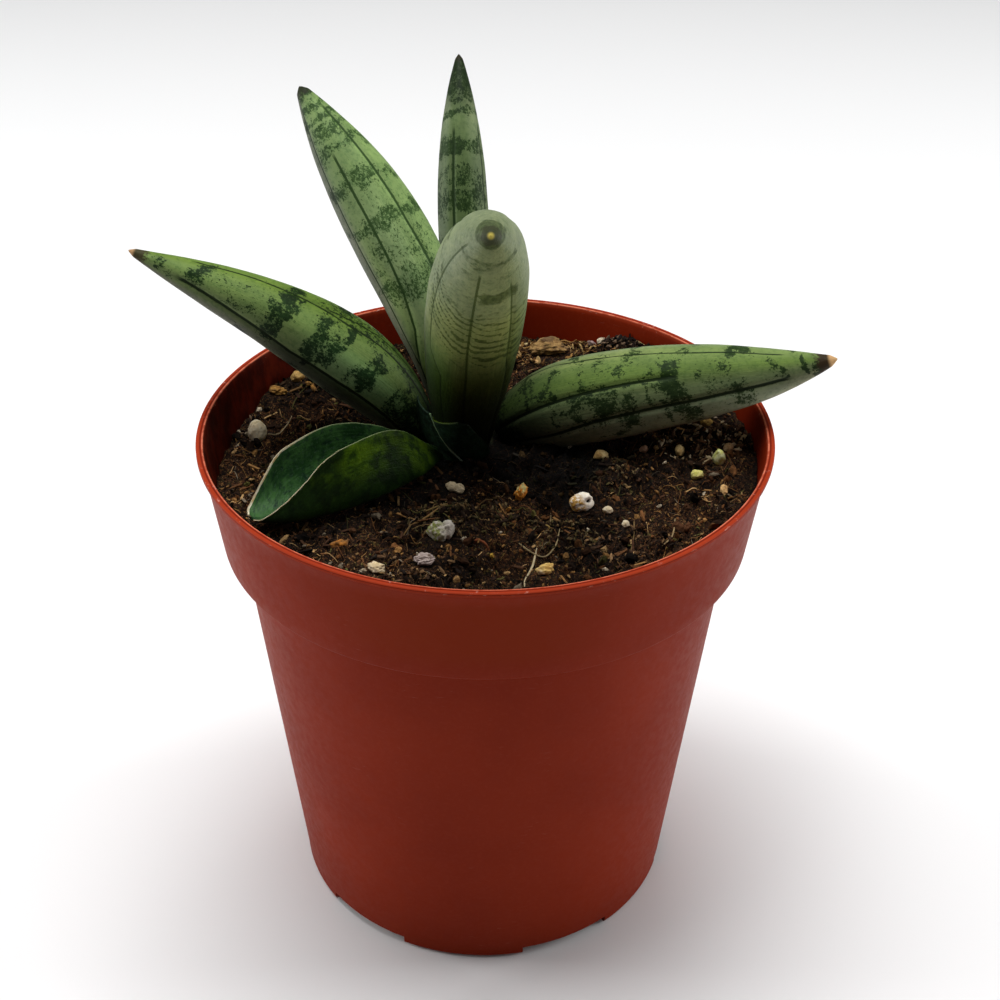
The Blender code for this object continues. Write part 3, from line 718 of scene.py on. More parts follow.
def rotations(count, dice):
    """Random turns, as count 3 x 3 matrices."""
    q = dice.normal(size=(count, 4))
    q /= np.linalg.norm(q, axis=1)[:, None]
    w, x, y, z = q.T
    return np.stack([
        np.stack([1 - 2 * (y * y + z * z), 2 * (x * y - w * z), 2 * (x * z + w * y)], 1),
        np.stack([2 * (x * y + w * z), 1 - 2 * (x * x + z * z), 2 * (y * z - w * x)], 1),
        np.stack([2 * (x * z - w * y), 2 * (y * z + w * x), 1 - 2 * (x * x + y * y)], 1)], 1)


def open_ground(x, y):
    """False under the stem, where nothing loose lies."""
    return np.hypot((x + 3.4) / 12.0, (y - 12.2) / 10.8) > 1.0


def clear_of_grains(x, y, pad):
    ok = np.ones(len(x), bool)
    for gx_, gy_, gz_, length, width, height, turn in SPOTS.values():
        ok &= np.hypot(x - gx_, y - gy_) > 0.5 * length + pad
    return ok


def scatter(count, dice, pad, reach=47.2):
    x, y = np.zeros(0), np.zeros(0)
    while len(x) < count:
        r = reach * np.sqrt(dice.random(count))
        a = dice.random(count) * math.tau
        px, py = r * np.cos(a), r * np.sin(a)
        ok = open_ground(px, py) & clear_of_grains(px, py, pad)
        x, y = np.concatenate([x, px[ok]]), np.concatenate([y, py[ok]])
    return x[:count], y[:count]


SOIL_TONES = np.array([srgb(18, 12, 8), srgb(38, 25, 17), srgb(66, 42, 26), srgb(98, 64, 36), srgb(134, 98, 56),
                       srgb(170, 136, 90), srgb(88, 84, 44), srgb(116, 104, 86)])


def tinted_material(name, rough, level, bump_mm=0.15, scale=2.5):
    n = Nodes(name)
    p = n.object_mm()
    tint = n.attribute("tint", "Color")
    shade = n.step(n.noise(p, scale, 4, 0.65), 0.3, 0.7, 0.5, 1.35, smooth=False)
    colour = n.mix(1.0, tint, n.join(shade, shade, shade), how='MULTIPLY')
    normal = n.bump(n.noise(p, scale * 1.8, 3, 0.65), bump_mm * MM, 0.8)
    return n.finish(colour=colour, rough=rough, normal=normal, Specular_IOR_Level=level)


# crumbs of peat and bark dust
dice = np.random.default_rng(411)
pieces_v, pieces_f, tints, offset = [], [], [], 0
for subdivisions, count, small, large in ((1, 4200, 0.16, 0.45), (2, 900, 0.35, 1.15)):
    v0, f0 = ico(subdivisions)
    x, y = scatter(count, dice, 0.3)
    size = small + (large - small) * dice.random(count) ** 2.2
    turn = rotations(count, dice)
    stretch = np.stack([1.0 + 0.9 * dice.random(count) ** 3, 0.4 + 0.5 * dice.random(count), 0.35 + 0.4 * dice.random(count)], 1)
    z = mix_surface(x, y) + size * 0.18
    jag = 1 + (dice.random((count, len(v0))) - 0.5) * 0.55
    v = v0[None] * jag[..., None] * stretch[:, None, :] * size[:, None, None]
    v = np.einsum('nij,nkj->nki', turn, v)
    v += np.stack([x, y, z], 1)[:, None, :]
    # nothing pokes through the wall
    rr = np.hypot(v[..., 0], v[..., 1])
    cap = inside_wall(v[..., 2]) - 0.02
    k = np.minimum(1.0, cap / np.maximum(rr, 1e-6))
    v[..., 0] *= k
    v[..., 1] *= k
    tone = SOIL_TONES[dice.choice(len(SOIL_TONES), count, p=(.17, .22, .21, .16, .12, .05, .04, .03))]
    # painted shade darkens the crumbs round the crown and under the leaves
    tone = tone * (0.7 + 0.6 * dice.random(count))[:, None] * (broad_tone(x, y) ** 0.6 * (1 - 0.9 * painted_shade(x, y)))[:, None]
    pieces_v.append(v.reshape(-1, 3))
    tints.append(np.repeat(tone, len(v0), axis=0))
    for i in range(count):
        base_i = offset + i * len(v0)
        pieces_f += [(a + base_i, b + base_i, c + base_i) for a, b, c in f0]
    offset += count * len(v0)
crumbs = make_mesh("mix_crumbs", np.vstack(pieces_v), pieces_f, tinted_material("crumbs", 0.92, 0.08, 0.2), smooth=False)
point_colours(crumbs, "tint", np.vstack(tints))
place(crumbs, None)


def strands(name, paths, radii, tints, mat, sides=4):
    """Thin tubes, all with the same number of points: paths (n, m, 3), radii (n, m), tints (n, 3)."""
    n, m, _ = paths.shape
    t = np.gradient(paths, axis=1)
    t /= np.maximum(np.linalg.norm(t, axis=2), 1e-9)[..., None]
    ref = np.where(np.abs(t[..., 2:3]) > 0.8, np.array([1.0, 0, 0]), np.array([0, 0, 1.0]))
    e1 = np.cross(t, ref)
    e1 /= np.linalg.norm(e1, axis=2)[..., None]
    e2 = np.cross(t, e1)
    a = np.linspace(0, math.tau, sides, endpoint=False)
    ring = e1[:, :, None, :] * np.cos(a)[None, None, :, None] + e2[:, :, None, :] * np.sin(a)[None, None, :, None]
    v = paths[:, :, None, :] + ring * radii[:, :, None, None]
    rr = np.hypot(v[..., 0], v[..., 1])
    cap = np.where(v[..., 2] < 96.0, inside_wall(np.clip(v[..., 2], 80, 96)) - 0.02, 1e9)
    k = np.minimum(1.0, cap / np.maximum(rr, 1e-6))
    v[..., 0] *= k
    v[..., 1] *= k
    faces = []
    for i in range(n):
        base_i = i * m * sides
        for j in range(m - 1):
            p, q = base_i + j * sides, base_i + (j + 1) * sides
            for s_ in range(sides):
                s2 = (s_ + 1) % sides
                faces.append((p + s_, p + s2, q + s2, q + s_))
        faces.append(tuple(base_i + s_ for s_ in range(sides - 1, -1, -1)))
        faces.append(tuple(base_i + (m - 1) * sides + s_ for s_ in range(sides)))
    obj = make_mesh(name, v.reshape(-1, 3), faces, mat)
    point_colours(obj, "tint", np.repeat(tints, m * sides, axis=0))
    return obj


def curly_paths(count, points, dice, length, curl, lift, pad=0.4):
    """Curly paths that lie on the mix. length = (least, most) millimetres."""
    x, y = scatter(count, dice, pad)
    heading = dice.random(count) * math.tau
    total = length[0] + (length[1] - length[0]) * dice.random(count) ** 1.8
    step = total / (points - 1)
    bend = dice.normal(size=count) * curl
    out = np.zeros((count, points, 3))
    h = np.zeros(count)
    rise = dice.random(count) * lift
    for j in range(points):
        out[:, j, 0], out[:, j, 1] = x, y
        r = np.hypot(x, y)
        ground = mix_surface(x, y)
        arch = max(0.0, math.sin(math.pi * j / (points - 1))) ** 0.8
        out[:, j, 2] = ground + 0.02 + rise * arch
        bend = bend * 0.8 + dice.normal(size=count) * curl * 0.5
        heading = heading + bend * step
        inward = r > 46.4
        heading = np.where(inward, np.arctan2(-y, -x) + dice.normal(size=count) * 0.7, heading)
        x = x + np.cos(heading) * step
        y = y + np.sin(heading) * step
    # paths are smooth in height even where the ground is rough
    z = out[:, :, 2].copy()
    out[:, 1:-1, 2] = np.maximum(z[:, 1:-1] * 0.5 + (z[:, :-2] + z[:, 2:]) * 0.25, z[:, 1:-1] - 0.25)
    return out


fibre_mat = tinted_material("fibres", 0.8, 0.12, 0.05, 3.0)
dice = np.random.default_rng(52)
count, points = 2600, 6
paths = curly_paths(count, points, dice, (0.8, 3.6), 0.30, 0.45)
thick = (0.05 + 0.09 * dice.random(count) ** 2)[:, None] * np.linspace(1.0, 0.6, points)[None, :]
tone = SOIL_TONES[dice.choice(len(SOIL_TONES), count, p=(.10, .18, .22, .2, .14, .06, .06, .04))]
# painted shade darkens the fibres round the crown and under the leaves
tone = tone * (0.8 + 0.5 * dice.random(count))[:, None] * (broad_tone(paths[:, 0, 0], paths[:, 0, 1]) * (1 - 0.9 * painted_shade(paths[:, 0, 0], paths[:, 0, 1])))[:, None]
place(strands("short_fibres", paths, thick, tone, fibre_mat, 3), None)

count, points = 120, 14
paths = curly_paths(count, points, dice, (4.0, 11.0), 0.16, 1.0)
thick = (0.05 + 0.08 * dice.random(count) ** 2)[:, None] * np.linspace(1.0, 0.5, points)[None, :]
tone = SOIL_TONES[dice.choice(len(SOIL_TONES), count, p=(.08, .16, .24, .2, .14, .08, .06, .04))]
# painted shade darkens the long fibres round the crown and under the leaves
tone = tone * (0.8 + 0.6 * dice.random(count))[:, None] * (1 - 0.9 * painted_shade(paths[:, 0, 0], paths[:, 0, 1]))[:, None]
place(strands("long_fibres", paths, thick, tone, fibre_mat, 5), None)


# flat splinters of bark and straw
count = 420
v0 = np.array([(-1, -1, -1), (1, -0.7, -1), (1.15, 0.6, -0.8), (-0.9, 1, -1), (-1.1, -0.8, 1), (0.9, -1, 0.9), (1, 0.8, 1), (-1, 0.9, 0.8)], float)
f0 = [(0, 3, 2, 1), (4, 5, 6, 7), (0, 1, 5, 4), (1, 2, 6, 5), (2, 3, 7, 6), (3, 0, 4, 7)]
x, y = scatter(count, dice, 0.5)
long_ = 0.5 + 1.5 * dice.random(count) ** 2
shape = np.stack([long_, 0.10 + 0.22 * dice.random(count), 0.05 + 0.08 * dice.random(count)], 1)
heading, tilt = dice.random(count) * math.tau, (dice.random(count) - 0.5) * 0.7
v = v0[None] * (1 + 0.3 * (dice.random((count, 8, 1)) - 0.5)) * shape[:, None, :]
vx_ = v[..., 0] * np.cos(tilt)[:, None] - v[..., 2] * np.sin(tilt)[:, None]
vz_ = v[..., 0] * np.sin(tilt)[:, None] + v[..., 2] * np.cos(tilt)[:, None]
sx = vx_ * np.cos(heading)[:, None] - v[..., 1] * np.sin(heading)[:, None] + x[:, None]
sy = vx_ * np.sin(heading)[:, None] + v[..., 1] * np.cos(heading)[:, None] + y[:, None]
sz = vz_ + (mix_surface(x, y) + 0.12 + 0.35 * np.abs(np.sin(tilt)) * long_)[:, None]
k = np.minimum(1.0, (inside_wall(sz) - 0.02) / np.maximum(np.hypot(sx, sy), 1e-6))
tone = SOIL_TONES[dice.choice(len(SOIL_TONES), count, p=(.05, .16, .22, .24, .18, .08, .04, .03))]
# painted shade darkens the splinters round the crown and under the leaves
tone = tone * (0.8 + 0.5 * dice.random(count))[:, None] * (1 - 0.9 * painted_shade(x, y))[:, None]
splinters = make_mesh("mix_splinters", np.stack([sx * k, sy * k, sz], 2).reshape(-1, 3),
                      [tuple(c + 8 * i for c in face) for i in range(count) for face in f0], fibre_mat, smooth=False)
point_colours(splinters, "tint", np.repeat(tone, 8, axis=0))
place(splinters, None)


def laid_strand(points, count, rise, sag=0.0):
    """A smooth path over the mix through points (x, y), lifted by rise."""
    pts = np.array(points, float)
    t = np.linspace(0, 1, len(pts))
    u_ = np.linspace(0, 1, count)
    m = np.stack([np.gradient(pts[:, k], t) for k in range(2)], 1)
    i = np.clip(np.searchsorted(t, u_) - 1, 0, len(t) - 2)
    h = (t[i + 1] - t[i])
    w = ((u_ - t[i]) / h)[:, None]
    xy = ((1 + 2 * w) * (1 - w) ** 2 * pts[i] + w * (1 - w) ** 2 * h[:, None] * m[i]
          + w * w * (3 - 2 * w) * pts[i + 1] + w * w * (w - 1) * h[:, None] * m[i + 1])
    z = mix_surface(xy[:, 0], xy[:, 1])
    for _ in range(4):
        z[1:-1] = np.maximum((z[:-2] + z[1:-1] + z[2:]) / 3, z[1:-1] - 0.15)
    return np.concatenate([xy, (z + rise + sag * np.sin(np.pi * u_))[:, None]], 1)


NAMED_STRANDS = [
    # points, thickness (radius), rise, tone
    ([(5.6, -25.5), (7.1, -27.3), (9.9, -27.9), (11.8, -26.1), (12.6, -21.6)], 0.13, 0.35, srgb(150, 132, 96)),
    ([(8.6, -26.4), (7.7, -30.5), (6.6, -33.9), (6.4, -35.8)], 0.19, 0.25, srgb(190, 172, 136)),
    ([(-19.0, -30.1), (-16.7, -27.7), (-14.3, -25.7), (-12.2, -23.9)], 0.30, 0.1, srgb(44, 36, 30)),
    ([(-14.1, -21.2), (-11.2, -19.3), (-7.8, -16.8), (-4.9, -15.0)], 0.22, 0.25, srgb(128, 98, 58)),
    ([(-11.2, -16.9), (-7.9, -15.0), (-4.1, -13.7), (-1.0, -13.0)], 0.17, 0.25, srgb(112, 92, 52)),
    ([(-1.9, -25.0), (-0.6, -24.7), (0.8, -25.0)], 0.26, 0.2, srgb(128, 72, 44)),
    ([(32.3, -19.5), (31.8, -22.5), (30.7, -25.5), (29.5, -26.4)], 0.14, 0.3, srgb(150, 128, 92)),
    ([(25.4, -18.8), (25.0, -23.3), (24.1, -27.2)], 0.12, 0.3, srgb(120, 96, 62)),
    ([(11.3, -15.2), (11.2, -17.7), (11.0, -20.1)], 0.11, 0.4, srgb(130, 110, 78)),
    ([(31.0, 43.1), (33.5, 43.6), (35.8, 42.7), (38.1, 40.6)], 0.42, 0.35, srgb(190, 160, 112)),
    ([(-40.4, 9.1), (-38.2, 11.3), (-36.3, 14.3)], 0.13, 0.8, srgb(170, 150, 116)),
    ([(-39.1, -0.7), (-37.9, 2.0), (-35.7, 5.2)], 0.12, 0.4, srgb(140, 116, 82)),
    ([(5.4, 41.2), (7.4, 42.4), (10.4, 42.6), (13.0, 41.6)], 0.30, 1.0, srgb(206, 184, 132)),
    ([(7.6, 37.0), (10.2, 38.4), (13.4, 37.6)], 0.2, 0.7, srgb(150, 112, 60)),
    ([(13.4, 39.0), (15.6, 40.6), (18.0, 39.6)], 0.2, 0.7, srgb(134, 98, 54)),
]
paths = np.stack([laid_strand(p_, 22, rise) for p_, r_, rise, c_ in NAMED_STRANDS])
thick = np.array([r_ for p_, r_, rise, c_ in NAMED_STRANDS])[:, None] * np.concatenate([np.linspace(0.5, 1, 4), np.ones(12), np.linspace(1, 0.4, 6)])[None, :]
place(strands("roots_and_twigs", paths, thick, np.array([c_ for p_, r_, rise, c_ in NAMED_STRANDS]), fibre_mat, 7), None)

# bits heaped on the low mounds
v0, f0 = ico(1)
pieces_v, pieces_f, tints, done = [], [], [], 0
for cx, cy, rx, ry, high, count, (small, big), tones in HEAPS:
    rho, phi = np.sqrt(dice.random(count)) * 1.1, dice.random(count) * math.tau
    x, y = cx + rx * rho * np.cos(phi), cy + ry * rho * np.sin(phi)
    keep = clear_of_grains(x, y, 0.2)
    x, y = x[keep], y[keep]
    count = len(x)
    size = small + (big - small) * dice.random(count) ** 2.2
    shape = 0.5 * size[:, None] * np.stack([1.3 + 1.8 * dice.random(count), 0.7 + 0.5 * dice.random(count), 0.4 + 0.4 * dice.random(count)], 1)
    v = v0[None] * (0.7 + 0.6 * dice.random((count, len(v0), 1))) * shape[:, None, :]
    v = np.einsum('nij,nkj->nki', rotations(count, dice), v)
    v[..., 0] += x[:, None]
    v[..., 1] += y[:, None]
    v[..., 2] += (mix_surface(x, y) + 0.25 * size)[:, None]
    k = np.minimum(1.0, (inside_wall(v[..., 2]) - 0.02) / np.maximum(np.hypot(v[..., 0], v[..., 1]), 1e-6))
    v[..., 0] *= k
    v[..., 1] *= k
    # painted shade darkens the heaped bits round the crown and under the leaves
    tone = np.array(tones)[dice.integers(len(tones), size=count)] * (0.75 + 0.5 * dice.random(count))[:, None] * (1 - 0.9 * painted_shade(x, y))[:, None]
    pieces_v.append(v.reshape(-1, 3))
    pieces_f += [tuple(c + done + i * len(v0) for c in face) for i in range(count) for face in f0]
    tints.append(np.repeat(tone, len(v0), axis=0))
    done += count * len(v0)
heaped = make_mesh("mix_heaps", np.vstack(pieces_v), pieces_f, fibre_mat, smooth=False)
point_colours(heaped, "tint", np.vstack(tints))
place(heaped, None)

# pale specks of perlite dust and shell grit
SPECKS = [(-17.7, -21.5, 0.45), (-14.6, -21.5, 0.4), (-13.1, -16.9, 0.35), (-3.6, -24.4, 0.55), (2.5, -22.0, 0.35), (1.1, -28.5, 0.6),
          (-4.6, -36.1, 0.7), (-11.2, -27.4, 0.5), (19.8, -32.1, 0.45), (31.8, -4.0, 0.4), (15.4, 3.6, 0.55),
          (-43.2, 19.6, 0.6), (-44.2, 9.6, 0.7), (-46.0, 11.6, 0.4), (-45.6, 6.6, 0.35), (-46.2, 14.6, 0.4), (21.3, 41.6, 0.95), (22.9, 40.2, 0.7),
          (-24.4, -27.0, 1.15), (-25.6, -25.4, 0.6), (-34.2, 24.2, 1.0), (-33.0, 22.6, 0.8), (-35.4, 26.4, 0.8), (-30.6, 26.4, 0.9), (2.2, 40.4, 0.8),
          (17.4, -20.4, 0.4), (-20.0, -33.4, 0.6), (-15.4, -34.2, 0.5), (38.0, -12.0, 0.5), (30.0, -14.6, 0.4), (4.0, -16.6, 0.5), (10.6, -21.0, 0.45)]
WARM = {18: srgb(178, 112, 40), 20: srgb(168, 122, 58), 21: srgb(150, 106, 48), 22: srgb(178, 130, 66), 23: srgb(120, 96, 50), 16: srgb(190, 164, 160),
        5: srgb(200, 160, 60), 6: srgb(170, 132, 80), 30: srgb(200, 140, 60), 31: srgb(190, 160, 90)}
v0, f0 = ico(3)
pieces_v, pieces_f, tints = [], [], []
for i, (x_, y_, size) in enumerate(SPECKS):
    d = v0 / np.linalg.norm(v0, axis=1)[:, None]
    v = v0 * (0.25 + 1.5 * fbm(d, 1.9, 3, 900 + i, 0.65))[:, None] * size * np.array([1.15, 0.5 + 0.4 * dice.random(), 0.45 + 0.3 * dice.random()])
    v = v @ rotations(1, dice)[0].T
    v[:, 0] += x_
    v[:, 1] += y_
    v[:, 2] += float(mix_surface(np.array([x_]), np.array([y_]))[0]) + size * 0.45
    k = np.minimum(1.0, (inside_wall(v[:, 2]) - 0.02) / np.maximum(np.hypot(v[:, 0], v[:, 1]), 1e-6))
    v[:, :2] *= k[:, None]
    pieces_v.append(v)
    pieces_f += [tuple(c + i * len(v0) for c in face) for face in f0]
    grime = smoothstep(0.42, 0.62, fbm(d, 2.6, 3, 950 + i, 0.6))[:, None]
    tints.append(np.array([WARM.get(i, srgb(198, 184, 158))]) * (1 - 0.75 * grime) + np.array(srgb(96, 72, 46)) * 0.75 * grime)
grit = make_mesh("mix_grit", np.vstack(pieces_v), pieces_f, tinted_material("grit", 0.85, 0.15, 0.1, 3.0))
point_colours(grit, "tint", np.vstack(tints))
place(grit, None)


# ---- loose grains ----------------------------------------------------------------------------
def stone_material(name, main, second, stain, stain_at=0.55, pits=0.5, bump_mm=0.12):
    n = Nodes(name)
    p = n.object_mm()
    colour = n.mix(n.step(n.noise(p, 1.1, 4, 0.6), 0.38, 0.62), main, second)
    colour = n.mix(n.step(n.noise(p, 0.38, 3, 0.6), stain_at, stain_at + 0.09, 0, 0.9), colour, stain)
    hollow = n.step(n.cells(p, 2.6), 0.12, 0.30)
    dirt = n.step(n.noise(p, 3.2, 4, 0.7), 0.60, 0.72, 0, 0.6)
    colour = n.mix(n.math("MULTIPLY", n.math("SUBTRACT", 1.0, hollow), pits), colour, srgb(92, 66, 38))
    colour = n.mix(dirt, colour, srgb(88, 64, 40))
    patchy = n.step(n.noise(p, 1.3, 4, 0.65), 0.40, 0.54)
    colour = n.mix(n.math("MULTIPLY", n.attribute("stained"), patchy), colour, stain)
    # painted shade: near-black inside the grain's hole
    colour = n.mix(n.attribute("hole_shade"), colour, srgb(10, 6, 4))
    height = n.math("ADD", n.math("MULTIPLY", hollow, 0.6), n.noise(p, 3.0, 4, 0.7))
    return n.finish(colour=colour, rough=0.88, normal=n.bump(height, bump_mm * MM, 0.9), Specular_IOR_Level=0.3)


GRAIN_LOOKS = {
    "perlite_grain_01": (srgb(244, 236, 222), srgb(230, 218, 196), srgb(180, 134, 44), 0.60, 0.15),
    "perlite_grain_02": (srgb(214, 200, 172), srgb(190, 172, 138), srgb(170, 140, 84), 0.55, 0.3),
    "perlite_grain_03": (srgb(208, 194, 166), srgb(186, 168, 134), srgb(160, 130, 84), 0.58, 0.3),
    "perlite_grain_04": (srgb(206, 184, 132), srgb(184, 156, 104), srgb(158, 122, 68), 0.55, 0.4),
    "perlite_grain_05": (srgb(180, 140, 112), srgb(160, 118, 88), srgb(128, 88, 62), 0.55, 0.4),
    "perlite_grain_06": (srgb(206, 180, 124), srgb(186, 156, 100), srgb(150, 118, 66), 0.57, 0.5),
    "perlite_grain_07": (srgb(184, 180, 88), srgb(206, 198, 120), srgb(120, 116, 52), 0.56, 0.4),
    "perlite_grain_08": (srgb(206, 208, 158), srgb(186, 186, 104), srgb(130, 130, 60), 0.56, 0.3),
    "perlite_grain_09": (srgb(208, 176, 132), srgb(182, 146, 100), srgb(140, 106, 64), 0.56, 0.4),
    "perlite_grain_10": (srgb(196, 160, 84), srgb(170, 132, 66), srgb(126, 96, 50), 0.55, 0.4),
    "perlite_grain_11": (srgb(196, 180, 148), srgb(172, 154, 122), srgb(140, 122, 90), 0.58, 0.2),
    "perlite_grain_12": (srgb(255, 240, 208), srgb(252, 230, 190), srgb(226, 204, 160), 0.60, 0.12),
    "perlite_grain_13": (srgb(196, 160, 96), srgb(172, 134, 74), srgb(128, 96, 52), 0.52, 0.4),
    "bark_chip_01": (srgb(222, 140, 36), srgb(200, 118, 34), srgb(190, 184, 122), 0.66, 0.3),
    "bark_chip_02": (srgb(180, 164, 156), srgb(150, 132, 124), srgb(110, 90, 76), 0.60, 0.3),
    "bark_chip_03": (srgb(214, 180, 106), srgb(194, 152, 78), srgb(212, 190, 150), 0.58, 0.3),
    "bark_chip_04": (srgb(222, 204, 170), srgb(204, 180, 136), srgb(160, 130, 84), 0.60, 0.3),
    "bark_chip_05": (srgb(176, 132, 66), srgb(152, 108, 50), srgb(108, 76, 38), 0.50, 0.3),
    "bark_chip_06": (srgb(156, 124, 74), srgb(130, 98, 56), srgb(92, 68, 42), 0.50, 0.4),
    "pumice_chunk": (srgb(176, 170, 156), srgb(192, 184, 172), srgb(120, 126, 52), 0.56, 0.4),
}


CHIPPED = {
    "perlite_grain_01": 0.22, "perlite_grain_08": 0.5, "perlite_grain_11": 0.15, "perlite_grain_12": 0.2,
    "perlite_grain_13": 0.9, "pumice_chunk": 1.0, "perlite_grain_07": 0.7, "perlite_grain_04": 0.6,
}


def grain_mesh(name, spot, seed):
    x, y, z, length, width, height, turn = spot
    v, f = ico(5 if length > 3.5 else 4)
    half = np.array([length, width, height]) / 2
    d = v / np.linalg.norm(v, axis=1)[:, None]
    dice_ = np.random.default_rng(seed)
    shape = v.copy()
    # broken faces: the ball is cut by a dozen flats, with their edges a little worn
    flats = dice_.normal(size=(13, 3))
    flats /= np.linalg.norm(flats, axis=1)[:, None]
    depth = 0.62 + 0.36 * dice_.random(13)
    facing = np.clip(d @ flats.T, 1e-3, None)
    cut = depth[None, :] / facing
    cut = -np.log(np.exp(-14.0 * np.minimum(cut, 3.0)).sum(axis=1)) / 14.0
    amount = CHIPPED.get(name, 0.75 if name.startswith("bark") else 0.55)
    shape *= (1 - amount + amount * np.minimum(cut, 1.05))[:, None]
    if name == "perlite_grain_11":      # two rounded lobes
        shape *= (1.0 - 0.34 * np.exp(-(v[:, 0] / 0.28) ** 2))[:, None]
    if name in ("perlite_grain_08", "bark_chip_01"):      # narrower at the top
        shape[:, :2] *= (1.0 - 0.30 * np.clip(v[:, 2:3], 0, 1))
    if name == "pumice_chunk":      # a cleft between its two halves
        shape *= (1.0 - 0.22 * np.exp(-((v[:, 0] - 0.1) / 0.16) ** 2))[:, None]
    if name.startswith("bark"):          # splintery
        shape *= (1 + 0.30 * (fbm(d * np.array([0.5, 2.6, 2.6]), 1.8, 3, seed) - 0.5) * 2)[:, None]
    lump = (fbm(d, 1.5, 3, seed) - 0.5) * (0.2 if name == "perlite_grain_12" else 0.45)
    rough = (fbm(d, 5.0, 4, seed + 5, 0.65) - 0.5) * 0.22
    shape *= (1 + lump + rough * (0.5 if name in ("perlite_grain_01", "perlite_grain_12") else 1.0))[:, None]
    hole_shade = np.zeros(len(v))
    if name == "perlite_grain_01":       # a small hole near its right end, painted near-black inside as painted shade
        hole = np.array([0.42, -0.72, 0.55])
        hole /= np.linalg.norm(hole)
        off = np.linalg.norm(d - hole, axis=1)
        shape *= (1 - 0.34 * np.exp(-(off / 0.19) ** 2))[:, None]
        hole_shade = smoothstep(0.25, 0.16, off)
    shape = (shape - (shape.max(axis=0) + shape.min(axis=0)) / 2)
    shape = shape / np.abs(shape).max(axis=0) * half
    a = math.radians(turn)
    spun = shape.copy()
    spun[:, 0] = shape[:, 0] * math.cos(a) - shape[:, 1] * math.sin(a)
    spun[:, 1] = shape[:, 0] * math.sin(a) + shape[:, 1] * math.cos(a)
    look = GRAIN_LOOKS[name]
    obj = make_mesh(name + "_stone", spun + np.array([x, y, z]), f, stone_material(name + "_skin", *look))
    point_floats(obj, "hole_shade", hole_shade)
    facing_ = {"perlite_grain_01": (-0.80, -0.58, -0.12), "pumice_chunk": (-0.95, -0.2, 0.1), "bark_chip_01": (0.0, 0.0, 1.0)}.get(name)
    stained = np.zeros(len(v))
    if facing_:
        aim_ = spun / half.max()
        stained = smoothstep(-0.35 if name == "pumice_chunk" else -0.1, 0.4, aim_ @ np.array(facing_)) * 0.95
    point_floats(obj, "stained", stained)
    place(obj, name)
    return obj


for i, (name, spot_) in enumerate(SPOTS.items()):
    grain_mesh(name, spot_, 300 + 13 * i)


# ---- leaves ------------------------------------------------------------------------------------
LEAVES = {
    "leaf_left": dict(
        base=(-11.7, 9.4, 87.9), bend=(-20.4, 10.0, 107.1), reach=(-40.8, 8.7, 116.0), tip=(-62.2, 10.7, 125.2),
        base_r=3.4, belly_r=7.1, tip_r=0.5, belly_at=0.35, draw=1.6),
    "leaf_back_left": dict(
        base=(-5.3, 15.3, 88.3), bend=(-7.5, 17.2, 111.8), reach=(-21.2, 27.0, 127.9), tip=(-34.1, 38.5, 145.0),
        base_r=3.8, belly_r=7.3, tip_r=0.8, belly_at=0.51, draw=2.0),
    "leaf_back": dict(
        base=(0.4, 19.4, 86.6), bend=(-4.9, 32.6, 107.8), reach=(-4.8, 42.3, 128.4), tip=(-5.5, 59.7, 144.3),
        base_r=2.8, belly_r=4.9, tip_r=0.5, belly_at=0.49, draw=2.3),
    "leaf_front": dict(
        base=(-3.9, 6.6, 87.5), bend=(-3.6, -2.6, 114.3), reach=(0.3, -15.6, 141.4), tip=(0.6, -42.3, 151.7),
        base_r=4.2, belly_r=8.2, tip_r=0.5, belly_at=0.47, draw=2.25),
    "leaf_right": dict(
        base=(3.5, 11.9, 89.3), bend=(18.5, 8.3, 100.6), reach=(42.6, 4.0, 102.2), tip=(61.3, 0.9, 109.8),
        base_r=4.3, belly_r=8.0, tip_r=0.6, belly_at=0.24, draw=2.5),
}


def leaf_line(leaf, stations):
    """Place, tangent, upper-side normal and side vector at fractions of the leaf's length."""
    a, b, c, d = (np.array(leaf[k], float) for k in ("base", "bend", "reach", "tip"))
    t = np.linspace(0, 1, 1601)[:, None]
    line = (1 - t) ** 3 * a + 3 * (1 - t) ** 2 * t * b + 3 * (1 - t) * t * t * c + t ** 3 * d
    run = np.concatenate([[0], np.cumsum(np.linalg.norm(np.diff(line, axis=0), axis=1))])
    length = run[-1]
    ts = np.interp(np.asarray(stations) * length, run, t[:, 0])[:, None]
    p = (1 - ts) ** 3 * a + 3 * (1 - ts) ** 2 * ts * b + 3 * (1 - ts) * ts * ts * c + ts ** 3 * d
    v = 3 * (1 - ts) ** 2 * (b - a) + 6 * (1 - ts) * ts * (c - b) + 3 * ts * ts * (d - c)
    v /= np.linalg.norm(v, axis=1)[:, None]
    normals = np.zeros_like(p)
    up_ = np.array([0, 0, 1.0])
    normals[-1] = up_ - up_.dot(v[-1]) * v[-1]
    normals[-1] /= np.linalg.norm(normals[-1])
    for i in range(len(p) - 2, -1, -1):
        step = p[i] - p[i + 1]
        c1 = step.dot(step)
        if c1 < 1e-12:
            normals[i] = normals[i + 1]
            continue
        rl = normals[i + 1] - 2 / c1 * step.dot(normals[i + 1]) * step
        tl = v[i + 1] - 2 / c1 * step.dot(v[i + 1]) * step
        v2 = v[i] - tl
        c2 = v2.dot(v2)
        normals[i] = rl - (2 / c2 * v2.dot(rl) * v2 if c2 > 1e-12 else 0)
    sides = np.cross(v, normals)
    return p, v, normals, sides, length


